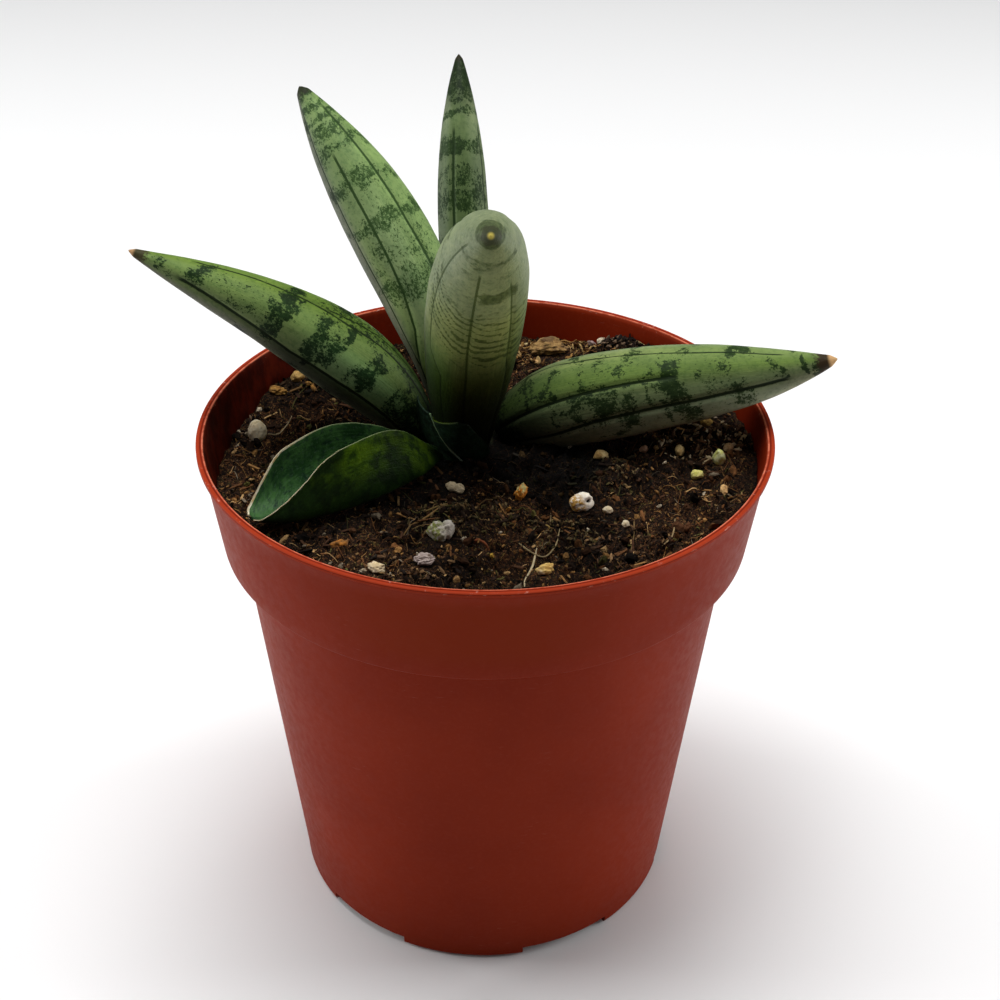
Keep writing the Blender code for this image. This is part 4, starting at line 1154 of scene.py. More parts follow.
def leaf_girth(leaf, s):
    s = np.asarray(s, float)
    low = leaf["base_r"] + (leaf["belly_r"] - leaf["base_r"]) * np.sin(math.pi / 2 * np.clip(s / leaf["belly_at"], 0, 1))
    w = np.clip((s - leaf["belly_at"]) / (1 - leaf["belly_at"]), 0, 1)
    high = leaf["tip_r"] + (leaf["belly_r"] - leaf["tip_r"]) * (1 - w ** leaf["draw"])
    return np.where(s < leaf["belly_at"], low, high)


def turn_from(a, centre_):
    """Angle a measured from centre_, in degrees from -180 to 180."""
    return (a - centre_ + 180.0) % 360.0 - 180.0


def mottle(s, a, flat, length, marks, seed, wander=1.0, sweep=0.0):
    """How dark the cross bands are meant to be, from 0 to 1, before their edges are broken up.

    Each mark is (middle, half width in mm, from angle, to angle, strength, lean), where lean
    moves the middle along the leaf by that many mm per 10 degrees."""
    level = np.zeros_like(s)
    shift = (fbm(flat, 0.33, 4, seed, 0.6) - 0.5) * 6.5 * wander
    swept = sweep * np.maximum(0.0, 182.0 - np.mod(a, 360.0)) ** 2
    turn = (fbm(flat, 0.33, 4, seed + 40, 0.6) - 0.5) * 75.0 * wander
    size = 0.55 + 0.9 * fbm(flat, 0.22, 2, seed + 80)
    for middle, half, a0, a1, strength, lean in marks:
        mid, span = (a0 + a1) / 2, abs(a1 - a0) / 2
        off = turn_from(a + (turn if span < 170 else 0.0), mid)
        across = smoothstep(span + 12, span - 8, np.abs(off)) if span < 170 else 1.0
        d = np.abs((s - middle) * length + shift * min(1.0, half / 0.9 if wander == 1.0 else 1.0) - lean * off / 10.0
                   - (swept if lean < -0.3 else 0.0)) / (half * size)
        level = np.maximum(level, strength * smoothstep(1.9, 0.35, d) * across)
    return level


def leaf_mesh(name, leaf, look, around=100):
    rows = look.get("rows", 240)
    s = np.linspace(0, 1, rows) ** 0.97
    p, v, nrm, side, length = leaf_line(leaf, s)
    r = leaf_girth(leaf, s)
    # the last millimetre draws in to a point
    r = r * np.clip((1 - s) * length / 1.2, 0, 1) ** 0.5
    a = np.linspace(0, math.tau, around, endpoint=False)
    shape = np.ones((rows, around))
    for stops, width, depth, ends in look["grooves"]:
        centre_ = np.interp(s, [w[0] for w in stops], [w[1] for w in stops])[:, None]
        off = turn_from(np.degrees(a)[None, :], centre_)
        fade = smoothstep(0.0, 0.08, s)[:, None] * smoothstep(ends + 0.02, ends - 0.05, s)[:, None]
        across = np.radians(off) * np.maximum(r[:, None], 1.0)
        shape -= fade * depth / np.maximum(r[:, None], 2.5) * np.exp(-(across / width) ** 2)
    ring_pts = (nrm[:, None, :] * np.cos(a)[None, :, None] + side[:, None, :] * np.sin(a)[None, :, None])
    verts = (p[:, None, :] + ring_pts * (r[:, None] * shape)[:, :, None]).reshape(-1, 3)
    ones = np.ones((rows, around))
    flat = np.stack([np.cos(a)[None, :] * r[:, None] * ones, np.sin(a)[None, :] * r[:, None] * ones,
                     (s * length)[:, None] * ones], 2).reshape(-1, 3)
    away = ring_pts.reshape(-1, 3)
    verts = verts + away * ((fbm(flat, 0.11, 2, 31) - 0.5) * 0.3)[:, None]
    faces = grid_faces(rows, around)
    verts = np.vstack([verts, p[0:1], p[-1:]])
    low, high = rows * around, rows * around + 1
    for j in range(around):
        k = (j + 1) % around
        faces.append((low, k, j))
        faces.append(((rows - 1) * around + j, (rows - 1) * around + k, high))
    flat = np.vstack([flat, [[0, 0, 0]], [[0, 0, length]]])
    obj = make_mesh(name, verts, faces)
    along = np.concatenate([np.repeat(s, around), [0, 1]])
    angle = np.concatenate([np.degrees(np.tile(a, rows)), [0, 0]])
    point_vectors(obj, "unbent", flat)
    point_floats(obj, "along", along)
    point_floats(obj, "mottle", mottle(along, angle, flat, length, look["marks"], look.get("seed", 7), look.get("wander", 1.0), look.get("sweep", 0.0)))
    point_colours(obj, "ground", look["paint"](along, angle, length))
    facing_out(obj)
    return obj, length


def leaf_material(name, look, length):
    """Pale green skin with ragged dark cross bands, dark furrow lines and a dry tip."""
    n = Nodes(name)
    flat = n.attribute("unbent", "Vector")
    s = n.attribute("along")
    x, y, z = n.split(flat)
    angle = n.math("DEGREES", n.math("ARCTAN2", y, x))
    radius = n.math("SQRT", n.math("ADD", n.math("MULTIPLY", x, x), n.math("MULTIPLY", y, y)))
    crisp = look.get("crisp", 1.0)

    # pale ground: long faint streaks, clouds and freckles
    # the ground colour carries the painted light and shade of the leaf's paint
    ground = n.attribute("ground", "Color")
    clouds = n.noise(flat, 0.30, 4, 0.6, stretch=(1.0, 1.0, 0.6))
    ground = n.mix(n.step(clouds, 0.35, 0.7, 0, 0.55), ground, n.mix(1.0, ground, look.get("cloud", (0.62, 0.66, 0.68)), how='MULTIPLY'))
    streaks = n.noise(flat, 1.0, 4, 0.6, stretch=(1.6, 1.6, 0.10))
    ground = n.mix(n.step(streaks, 0.48, 0.72, 0, 0.5), ground, n.mix(1.0, ground, look.get("streak", (1.32, 1.26, 1.22)), how='MULTIPLY'))
    mottles = n.noise(flat, 1.3, 4, 0.65)
    ground = n.mix(n.step(mottles, 0.48, 0.64, 0, look.get("mottled", 0.5)), ground, n.mix(1.0, ground, (0.66, 0.74, 0.70), how='MULTIPLY'))

    # cross bands, broken into specks at their edges
    bands = n.attribute("mottle")
    ragged = n.noise(flat, look.get("speck", 1.75), 4, 0.8, stretch=(1.0, 1.0, 0.8))
    patch = n.noise(flat, 0.40, 3, 0.6, stretch=(1.0, 1.0, 0.8))
    level = n.math("ADD", n.math("MULTIPLY", bands, look.get("fill", 0.72)), n.math("MULTIPLY", n.math("SUBTRACT", ragged, 0.5), 3.2 * crisp))
    level = n.math("ADD", level, n.math("MULTIPLY", n.math("SUBTRACT", patch, 0.5), look.get("patchy", 1.6)))
    hit = n.step(bands, 0.01, 0.16)
    dark = n.math("MULTIPLY", n.step(level, 0.40, 0.40 + look.get("edge", 0.13)), hit)
    haze = n.math("MULTIPLY", n.step(n.math("ADD", bands, n.math("MULTIPLY", n.math("SUBTRACT", patch, 0.5), 1.4)), 0.35, 0.8), look.get("haze", 0.5))
    def shaded(factor):
        return n.mix(1.0, ground, factor, how='MULTIPLY')

    colour = n.mix(haze, ground, shaded(look["band_haze"]))
    tone = n.mix(n.step(n.noise(flat, 1.1, 3, 0.6), 0.40, 0.62), shaded(look["band_dark"]), shaded(look["band_light"]))
    colour = n.mix(n.math("MULTIPLY", dark, look.get("band_strength", 0.93)), colour, tone)

    # stray specks outside the bands
    specks = n.step(n.noise(flat, 1.9, 2, 0.6), 0.685, 0.72, 0, look.get("strays", 0.6))
    colour = n.mix(specks, colour, shaded(look["band_light"]))

    # furrows
    line = None
    for stops, width, depth, ends in look["grooves"]:
        centre_ = n.ramp(s, [(w[0], (w[1] + 200.0) / 600.0) for w in stops])
        off = n.math("SUBTRACT", angle, n.math("SUBTRACT", n.math("MULTIPLY", centre_, 600.0), 200.0))
        off = n.math("WRAP", off, 180.0, -180.0)
        off = n.math("ABSOLUTE", n.math("MULTIPLY", n.math("RADIANS", off), radius))
        off = n.math("ADD", off, n.math("MULTIPLY", n.math("SUBTRACT", mottles, 0.5), 0.35))
        mark = n.step(off, width * 0.78, width * 0.42)
        mark = n.math("MULTIPLY", mark, n.step(s, ends + 0.008, ends - 0.02))
        line = mark if line is None else n.math("MAXIMUM", line, mark)
    line = n.math("MULTIPLY", line, look.get("line_strength", 0.95))
    colour = n.mix(line, colour, shaded(look["line"]))

    # dry at the very tip
    dry_from = 1.0 - look.get("dry", 2.6) / length
    torn = n.math("ADD", s, n.math("MULTIPLY", n.math("SUBTRACT", mottles, 0.5), 5.0 / length))
    colour = n.mix(n.step(torn, dry_from - 1.5 / length, dry_from - 0.3 / length, 0, 0.92), colour, look["dry_dark"])
    colour = n.mix(n.step(s, dry_from + 0.8 / length, dry_from + 1.5 / length), colour, look["dry_light"])

    pores = n.noise(flat, 4.2, 3, 0.6, stretch=(1, 1, 0.35))
    fibres = n.noise(flat, 2.2, 3, 0.6, stretch=(1.5, 1.5, 0.05))
    height = n.math("ADD", n.math("MULTIPLY", pores, 0.4), fibres)
    normal = n.bump(height, 0.00009, 0.8)
    rough = n.step(ragged, 0.3, 0.7, 0.46, 0.6)
    return n.finish(colour=colour, rough=rough, normal=normal, Specular_IOR_Level=0.09)


def skin(round_, along_, painted_light_and_shade=()):
    """A painter: colours round the leaf as (angle, colour), with the light and shade of each side painted in, times
    brightness along it as (place, factor), painted shade towards the base in the crown, with a few soft areas of
    painted light and shade, some also tinted, as (middle angle, half width, start, end, factor)."""
    def paint(s, a, length):
        angles = [z[0] for z in round_]
        mid = (angles[0] + angles[-1]) / 2
        off = turn_from(a, mid) + mid
        out = np.repeat(np.array([round_[0][1]]), len(s), axis=0)
        for i in range(1, len(round_)):
            t = smoothstep(angles[i - 1], angles[i], off)[:, None]
            out = out * (1 - t) + np.array([round_[i][1]]) * t
        # round the far side, the first and last colours meet
        span = 360 - (angles[-1] - angles[0])
        past = (np.clip((off - angles[-1]) / span, 0, 1) + np.clip((angles[0] - off) / span, 0, 1))[:, None]
        meet = (np.array([round_[0][1]]) + np.array([round_[-1][1]])) / 2
        out = out * (1 - past) + meet * past
        # painted shade: darker towards the base, where the leaf sits in the crown
        out = out * np.interp(s, [p for p, k in along_], [k for p, k in along_])[:, None]
        # soft areas of painted light and shade, some of them tinted as well
        for centre_, half, start, end, factor in painted_light_and_shade:
            soft = 0.3 * (end - start)
            within = smoothstep(start - soft, start + soft, s) * smoothstep(end + soft, end - soft, s)
            across = smoothstep(half * 1.5, half * 0.5, np.abs(turn_from(a, centre_)))
            out = out * (1 + (across * within)[:, None] * (np.array(factor) - 1))
        return out
    return paint


# each paint holds painted light and shade: lit and shaded sides round the leaf, shade towards the crown, and soft lit
# and shaded areas
LOOKS = {
    "leaf_left": dict(
        paint=skin([(-125, srgb(88, 90, 72)),
                     (-92, srgb(104, 120, 74)),
                     (-45, srgb(116, 140, 76)),
                     (-8, srgb(104, 128, 54)),
                     (40, srgb(100, 128, 60))],
                    [(0, 0.08), (0.12, 0.3), (0.25, 0.75), (0.5, 1.0), (1, 1.02)],
                    [(-2, 26, -0.3, 0.26, (0.2, 0.3, 0.24)), (-2, 26, 0.34, 0.62, (0.8, 0.82, 0.72)),
                     (-78, 24, 0.02, 0.42, (1.7, 1.9, 2.3)), (-120, 15, 0.22, 0.56, (0.4, 0.42, 0.42))]),
        marks=[(0.02, 4.0, -180, 180, 0.9, 0), (0.115, 2.4, -100, -20, 0.95, 0.2), (0.18, 1.6, -95, -20, 0.7, 0.2),
               (0.292, 1.15, -104, -24, 1.0, -0.05), (0.33, 0.7, -95, -70, 0.5, 0), (0.388, 0.7, -50, -10, 1.0, -0.35),
               (0.405, 1.1, -100, -58, 0.95, 0.1), (0.458, 1.4, -100, -20, 0.95, -0.1), (0.448, 1.0, -110, -60, 0.95, 0),
               (0.556, 0.9, -110, 20, 1.0, 0), (0.575, 1.9, -100, -40, 0.9, 0.05), (0.70, 4.2, -80, -20, 0.30, 0),
               (0.80, 1.4, -85, -10, 0.72, -0.35), (0.765, 0.8, -20, 15, 0.6, 0), (0.9, 0.9, -95, -30, 0.6, 0),
               (0.34, 8.0, -22, 34, 0.5, 0), (0.475, 1.6, 40, 230, 0.9, 0), (0.30, 1.4, 30, 230, 0.9, 0.1), (0.66, 1.2, 30, 230, 0.8, 0), (0.80, 0.9, 30, 230, 0.7, 0)],
        grooves=[([(0.0, -103), (0.3, -103), (0.5, -108), (0.67, -98), (0.85, -84), (1.0, -84)], 0.55, 0.5, 0.855),
                 ([(0.0, -12), (0.27, -14), (0.4, -18), (0.5, -12), (0.69, -2), (1.0, 0)], 0.34, 0.22, 0.83),
                 ([(0.0, 6), (0.3, 4), (0.4, -6), (0.46, -10), (1.0, -10)], 0.30, 0.18, 0.47),
                 ([(0.0, 150), (1.0, 150)], 0.4, 0.3, 0.82), ([(0.0, 85), (1.0, 88)], 0.4, 0.3, 0.84)],
        fill=0.80, mottled=0.7, speck=2.2, crisp=1.1, edge=0.16, band_strength=0.96, band_dark=(0.035, 0.08, 0.05), band_light=(0.08, 0.15, 0.12), band_haze=(0.48, 0.56, 0.62), haze=0.6,
        line=(0.06, 0.10, 0.06), dry_dark=srgb(60, 50, 34), dry_light=srgb(172, 136, 96), dry=2.2),
    "leaf_back_left": dict(
        paint=skin([(-104, srgb(104, 108, 92)),
                     (-78, srgb(116, 136, 88)),
                     (-30, srgb(122, 146, 90)),
                     (15, srgb(118, 142, 84)),
                     (60, srgb(112, 134, 86))],
                    [(0, 0.1), (0.12, 0.5), (0.3, 1.0), (0.5, 1.08), (0.94, 1.12), (1, 0.35)],
                    [(-88, 24, 0.0, 0.40, (2.1, 2.0, 1.9)), (-88, 22, 0.35, 0.62, (1.35, 1.3, 1.3)), (-45, 20, 0.22, 0.62, (1.6, 1.5, 1.75)),
                     (-55, 40, 0.0, 0.2, (0.9, 1.1, 0.45))]),
        marks=[(0.03, 5.0, -180, 180, 0.9, 0), (0.12, 2.0, -180, 180, 0.5, 0.1), (0.25, 1.4, -180, 180, 0.3, 0),
               (0.42, 2.1, -92, 0, 0.85, 0.15), (0.49, 1.4, -100, 40, 0.45, 0), (0.515, 1.6, -60, 45, 0.42, 0),
               (0.585, 1.5, -95, 40, 0.90, 0.05), (0.64, 1.0, -60, 0, 0.35, 0), (0.705, 1.5, -95, -5, 0.85, 0.08), (0.675, 0.9, -5, 40, 0.6, -0.2),
               (0.808, 1.0, -95, 50, 1.0, 0), (0.848, 0.8, -90, 20, 0.85, 0.1), (0.892, 0.65, -105, 50, 1.1, 0.03),
               (0.932, 0.5, -100, 50, 1.0, 0.02), (0.968, 0.35, -105, 50, 0.9, 0), (1.0, 1.6, -180, 180, 1.4, 0),
               (0.40, 1.6, 60, 230, 0.85, 0), (0.55, 1.4, 60, 230, 0.85, 0), (0.70, 1.2, 60, 230, 0.85, 0), (0.83, 1.0, 60, 230, 0.9, 0), (0.91, 0.6, 60, 230, 1.0, 0)],
        grooves=[([(0.0, -4), (0.43, -5), (0.55, -8), (0.92, -2), (1.0, -2)], 0.42, 0.3, 0.925),
                 ([(0.0, -105), (0.19, -100), (0.3, -73), (0.4, -63), (0.5, -59), (0.8, -57), (1.0, -57)], 0.42, 0.3, 0.79),
                 ([(0.0, -102), (0.4, -98), (0.95, -97), (1.0, -97)], 0.30, 0.15, 0.95),
                 ([(0.0, 55), (1.0, 55)], 0.35, 0.2, 0.85), ([(0.0, 110), (1.0, 112)], 0.4, 0.3, 0.85), ([(0.0, 180), (1.0, 178)], 0.4, 0.3, 0.88)],
        fill=0.68, mottled=0.7, speck=2.4, crisp=1.15, edge=0.2, strays=0.8, band_dark=(0.10, 0.17, 0.10), band_light=(0.22, 0.30, 0.22), band_haze=(0.60, 0.70, 0.66), haze=0.5,
        line=(0.13, 0.20, 0.13), dry_dark=srgb(40, 44, 28), dry_light=srgb(70, 58, 38), dry=1.2),
    "leaf_back": dict(
        paint=skin([(-70, srgb(98, 110, 82)),
                     (0, srgb(96, 113, 74)),
                     (60, srgb(98, 112, 78))],
                    [(0, 0.1), (0.4, 0.7), (0.55, 1.0), (0.66, 0.95), (0.8, 1.15), (0.86, 0.7), (1, 0.4)],
                    [(-10, 26, 0.44, 0.9, (0.82, 0.86, 0.72)), (36, 24, 0.78, 0.94, (1.35, 1.25, 1.3)), (-50, 20, 0.78, 0.94, (1.2, 1.15, 1.2))]),
        marks=[(0.04, 5, -180, 180, 0.9, 0), (0.20, 2.4, -180, 180, 0.8, 0), (0.36, 2.6, -180, 180, 0.85, 0), (0.47, 1.6, -180, 180, 0.6, 0.1),
               (0.585, 2.4, -80, 60, 0.85, 0), (0.645, 1.2, -70, 60, 0.6, 0), (0.728, 1.6, -75, 65, 1.0, 0), (0.815, 0.55, -180, 180, 0.85, 0.1),
               (0.86, 1.0, -50, 60, 0.7, 0.1), (0.92, 2.6, -180, 180, 0.95, 0), (0.98, 3.0, -180, 180, 1.1, 0),
               (0.60, 2.0, 80, 270, 0.8, 0), (0.73, 1.2, 80, 270, 0.9, 0)],
        grooves=[([(0.0, -24), (0.5, -24), (0.77, -21), (1.0, -21)], 0.45, 0.3, 0.775),
                 ([(0.0, 58), (0.6, 60), (0.8, 62), (1.0, 62)], 0.34, 0.2, 0.79),
                 ([(0.0, 140), (1.0, 140)], 0.4, 0.3, 0.8), ([(0.0, -100), (1.0, -100)], 0.4, 0.3, 0.8)],
        fill=0.80, mottled=0.7, speck=2.2, crisp=1.1, edge=0.18, band_dark=(0.07, 0.15, 0.05), band_light=(0.18, 0.28, 0.14), band_haze=(0.60, 0.70, 0.60), haze=0.5,
        line=(0.12, 0.20, 0.10), dry_dark=srgb(44, 40, 26), dry_light=srgb(84, 66, 42), dry=0.9),
    "leaf_front": dict(
        paint=skin([(110, srgb(124, 134, 100)),
                     (160, srgb(122, 130, 90)),
                     (210, srgb(118, 124, 84)),
                     (250, srgb(124, 134, 98))],
                    [(0, 0.015), (0.2, 0.035), (0.3, 0.10), (0.37, 0.24), (0.43, 0.55), (0.5, 0.92), (0.58, 1.04), (0.78, 1.08), (0.9, 0.98), (1, 0.8)],
                    [(180, 80, 0.0, 0.42, (0.72, 0.82, 0.22)), (180, 80, 0.42, 0.62, (1.05, 1.04, 0.74)), (195, 26, 0.56, 0.80, (1.15, 1.15, 1.05)),
                     (128, 24, 0.0, 0.40, (1.1, 1.6, 1.3)), (238, 22, 0.25, 0.62, (0.78, 0.82, 0.72)), (125, 22, 0.74, 0.96, (1.08, 1.06, 1.2))]),
        marks=[(0.03, 6.0, -180, 180, 0.5, 0), (0.435, 0.34, 95, 290, 0.8, -0.56), (0.462, 0.36, 95, 290, 1.0, -0.56),
               (0.487, 0.34, 95, 290, 1.05, -0.56), (0.512, 0.36, 90, 290, 1.0, -0.56), (0.538, 0.34, 90, 290, 1.05, -0.56),
               (0.562, 0.32, 90, 290, 0.9, -0.56), (0.588, 0.36, 90, 290, 0.85, -0.5), (0.612, 0.34, 90, 290, 0.7, -0.5), (0.635, 0.36, 90, 290, 0.6, -0.35),
               (0.655, 0.7, 90, 290, 0.5, -0.3), (0.725, 2.2, 170, 230, 0.75, 0), (0.73, 0.9, 60, 180, 0.45, -0.3),
               (0.805, 1.6, 110, 250, 0.42, -0.1), (0.868, 1.3, 105, 255, 0.62, 0), (0.905, 0.8, -180, 180, 0.3, 0), (0.973, 1.9, -180, 180, 0.98, 0),
               (0.40, 0.4, 90, 290, 0.5, -0.5), (0.365, 0.4, 90, 290, 0.4, -0.5),
               (0.35, 2.0, -70, 80, 0.7, 0), (0.5, 1.6, -70, 80, 0.75, 0), (0.65, 1.4, -70, 80, 0.75, 0), (0.77, 1.0, -70, 80, 0.7, 0)],
        crisp=0.22, sweep=0.0008, mottled=0.8, speck=1.0, haze=0.0, strays=0.1, band_strength=0.8, fill=1.0, patchy=0.9, edge=0.35, rows=330, wander=0.35,
        band_dark=(0.12, 0.17, 0.07), band_light=(0.34, 0.40, 0.26), band_haze=(0.8, 0.85, 0.8),
        grooves=[([(0.0, 172), (0.38, 171), (0.47, 169), (0.8, 167), (1.0, 167)], 0.34, 0.3, 0.83),
                 ([(0.0, 232), (0.33, 228), (0.43, 222), (0.64, 218), (1.0, 218)], 0.32, 0.3, 0.77),
                 ([(0.0, 140), (0.35, 137), (0.42, 116), (0.6, 112), (0.9, 108), (1.0, 108)], 0.28, 0.12, 0.91),
                 ([(0.0, 40), (1.0, 40)], 0.5, 0.3, 0.84), ([(0.0, -40), (1.0, -40)], 0.5, 0.3, 0.84)],
        line=(0.20, 0.26, 0.12), line_strength=0.8, dry_dark=srgb(54, 58, 38), dry_light=srgb(176, 160, 72), dry=1.6),
    "leaf_right": dict(
        paint=skin([(-25, srgb(118, 136, 90)),
                     (5, srgb(116, 136, 76)),
                     (35, srgb(98, 122, 54)),
                     (72, srgb(98, 110, 72)),
                     (112, srgb(116, 118, 90)),
                     (150, srgb(134, 132, 104))],
                    [(0, 0.03), (0.12, 0.28), (0.25, 0.78), (0.4, 0.98), (0.9, 1.05), (1, 0.8)],
                    [(-4, 14, 0.08, 0.50, (1.35, 1.2, 1.35)), (80, 16, 0.25, 0.78, (1.35, 1.38, 1.45)), (116, 20, 0.38, 0.80, (2.0, 2.3, 2.5)),
                     (35, 34, 0.0, 0.20, (0.8, 0.85, 0.9))]),
        marks=[(0.02, 3.0, -180, 180, 0.7, 0), (0.125, 1.0, 0, 60, 0.65, -0.3), (0.155, 0.8, 10, 48, 0.65, 0.2), (0.205, 1.0, 15, 55, 0.8, -0.3), (0.208, 0.9, 66, 95, 0.7, 0),
               (0.265, 1.2, 66, 95, 0.7, 0), (0.30, 0.8, 38, 64, 0.75, 0), (0.345, 1.8, 58, 98, 0.8, 0.2), (0.355, 0.8, 5, 30, 0.5, 0), (0.41, 1.0, 22, 52, 0.75, -0.3),
               (0.412, 1.2, 62, 98, 0.8, -0.2), (0.475, 0.8, 60, 84, 0.5, 0), (0.51, 1.0, 95, 130, 0.65, 0.2), (0.40, 2.8, 100, 130, 0.6, 0.2),
               (0.545, 1.5, 18, 84, 0.95, -0.05), (0.585, 1.6, 95, 135, 0.6, 0.2), (0.52, 0.8, 30, 60, 0.5, 0), (0.735, 1.1, -22, 26, 1.0, 0), (0.725, 2.2, 78, 125, 0.6, 0.1),
               (0.835, 0.9, 40, 84, 0.85, 0.05), (0.64, 1.2, 60, 90, 0.35, 0), (0.69, 1.0, 20, 90, 0.22, 0), (0.915, 0.4, 10, 100, 0.9, 0.05), (0.885, 0.5, -30, 10, 0.4, 0), (0.955, 0.9, -180, 180, 1.0, 0),
               (0.28, 1.0, -60, 8, 0.6, 0), (0.45, 1.2, -60, 5, 0.75, 0), (0.60, 1.1, -60, 0, 0.6, 0),
               (0.30, 1.6, 150, 330, 0.8, 0), (0.45, 1.5, 150, 330, 0.85, 0), (0.6, 1.4, 150, 330, 0.85, 0), (0.75, 1.2, 150, 330, 0.85, 0), (0.87, 0.8, 150, 330, 0.85, 0)],
        grooves=[([(0.0, -6), (0.2, -4), (0.3, 2), (0.47, 7), (0.61, 10), (0.72, 10), (0.85, 14), (1.0, 14)], 0.28, 0.18, 0.86),
                 ([(0.0, 68), (0.1, 62), (0.26, 56), (0.37, 53), (0.56, 49), (1.0, 49)], 0.5, 0.45, 0.563),
                 ([(0.0, 114), (0.17, 104), (0.31, 96), (0.46, 92), (0.6, 90), (0.74, 88), (0.87, 90), (1.0, 90)], 0.55, 0.5, 0.87),
                 ([(0.0, 170), (1.0, 168)], 0.4, 0.3, 0.85), ([(0.0, 240), (1.0, 238)], 0.4, 0.3, 0.85), ([(0.0, -60), (1.0, -60)], 0.4, 0.3, 0.83)],
        fill=0.92, mottled=0.7, speck=2.2, crisp=1.1, edge=0.17, patchy=1.9, strays=0.9, band_dark=(0.05, 0.11, 0.05), band_light=(0.11, 0.18, 0.10), band_haze=(0.58, 0.66, 0.62), haze=0.45,
        line=(0.05, 0.09, 0.05), dry_dark=srgb(52, 38, 24), dry_light=srgb(196, 156, 108), dry=2.6),
}

for name, leaf in LEAVES.items():
    look = LOOKS[name]
    obj, length = leaf_mesh(name + "_flesh", leaf, look)
    obj.data.materials.append(leaf_material(name + "_skin", look, length))
    place(obj, name)


# ---- folded leaf ------------------------------------------------------------------------------------
def spline(f, stops, column):
    """Smooth (monotone-ish) interpolation through stops at f."""
    xs = np.array([s_[0] for s_ in stops], float)
    ys = np.array([s_[column] for s_ in stops], float)
    m = np.gradient(ys, xs)
    i = np.clip(np.searchsorted(xs, f) - 1, 0, len(xs) - 2)
    h = xs[i + 1] - xs[i]
    t = (f - xs[i]) / h
    return ((1 + 2 * t) * (1 - t) ** 2 * ys[i] + t * (1 - t) ** 2 * h * m[i]
            + t * t * (3 - 2 * t) * ys[i + 1] + t * t * (t - 1) * h * m[i + 1])


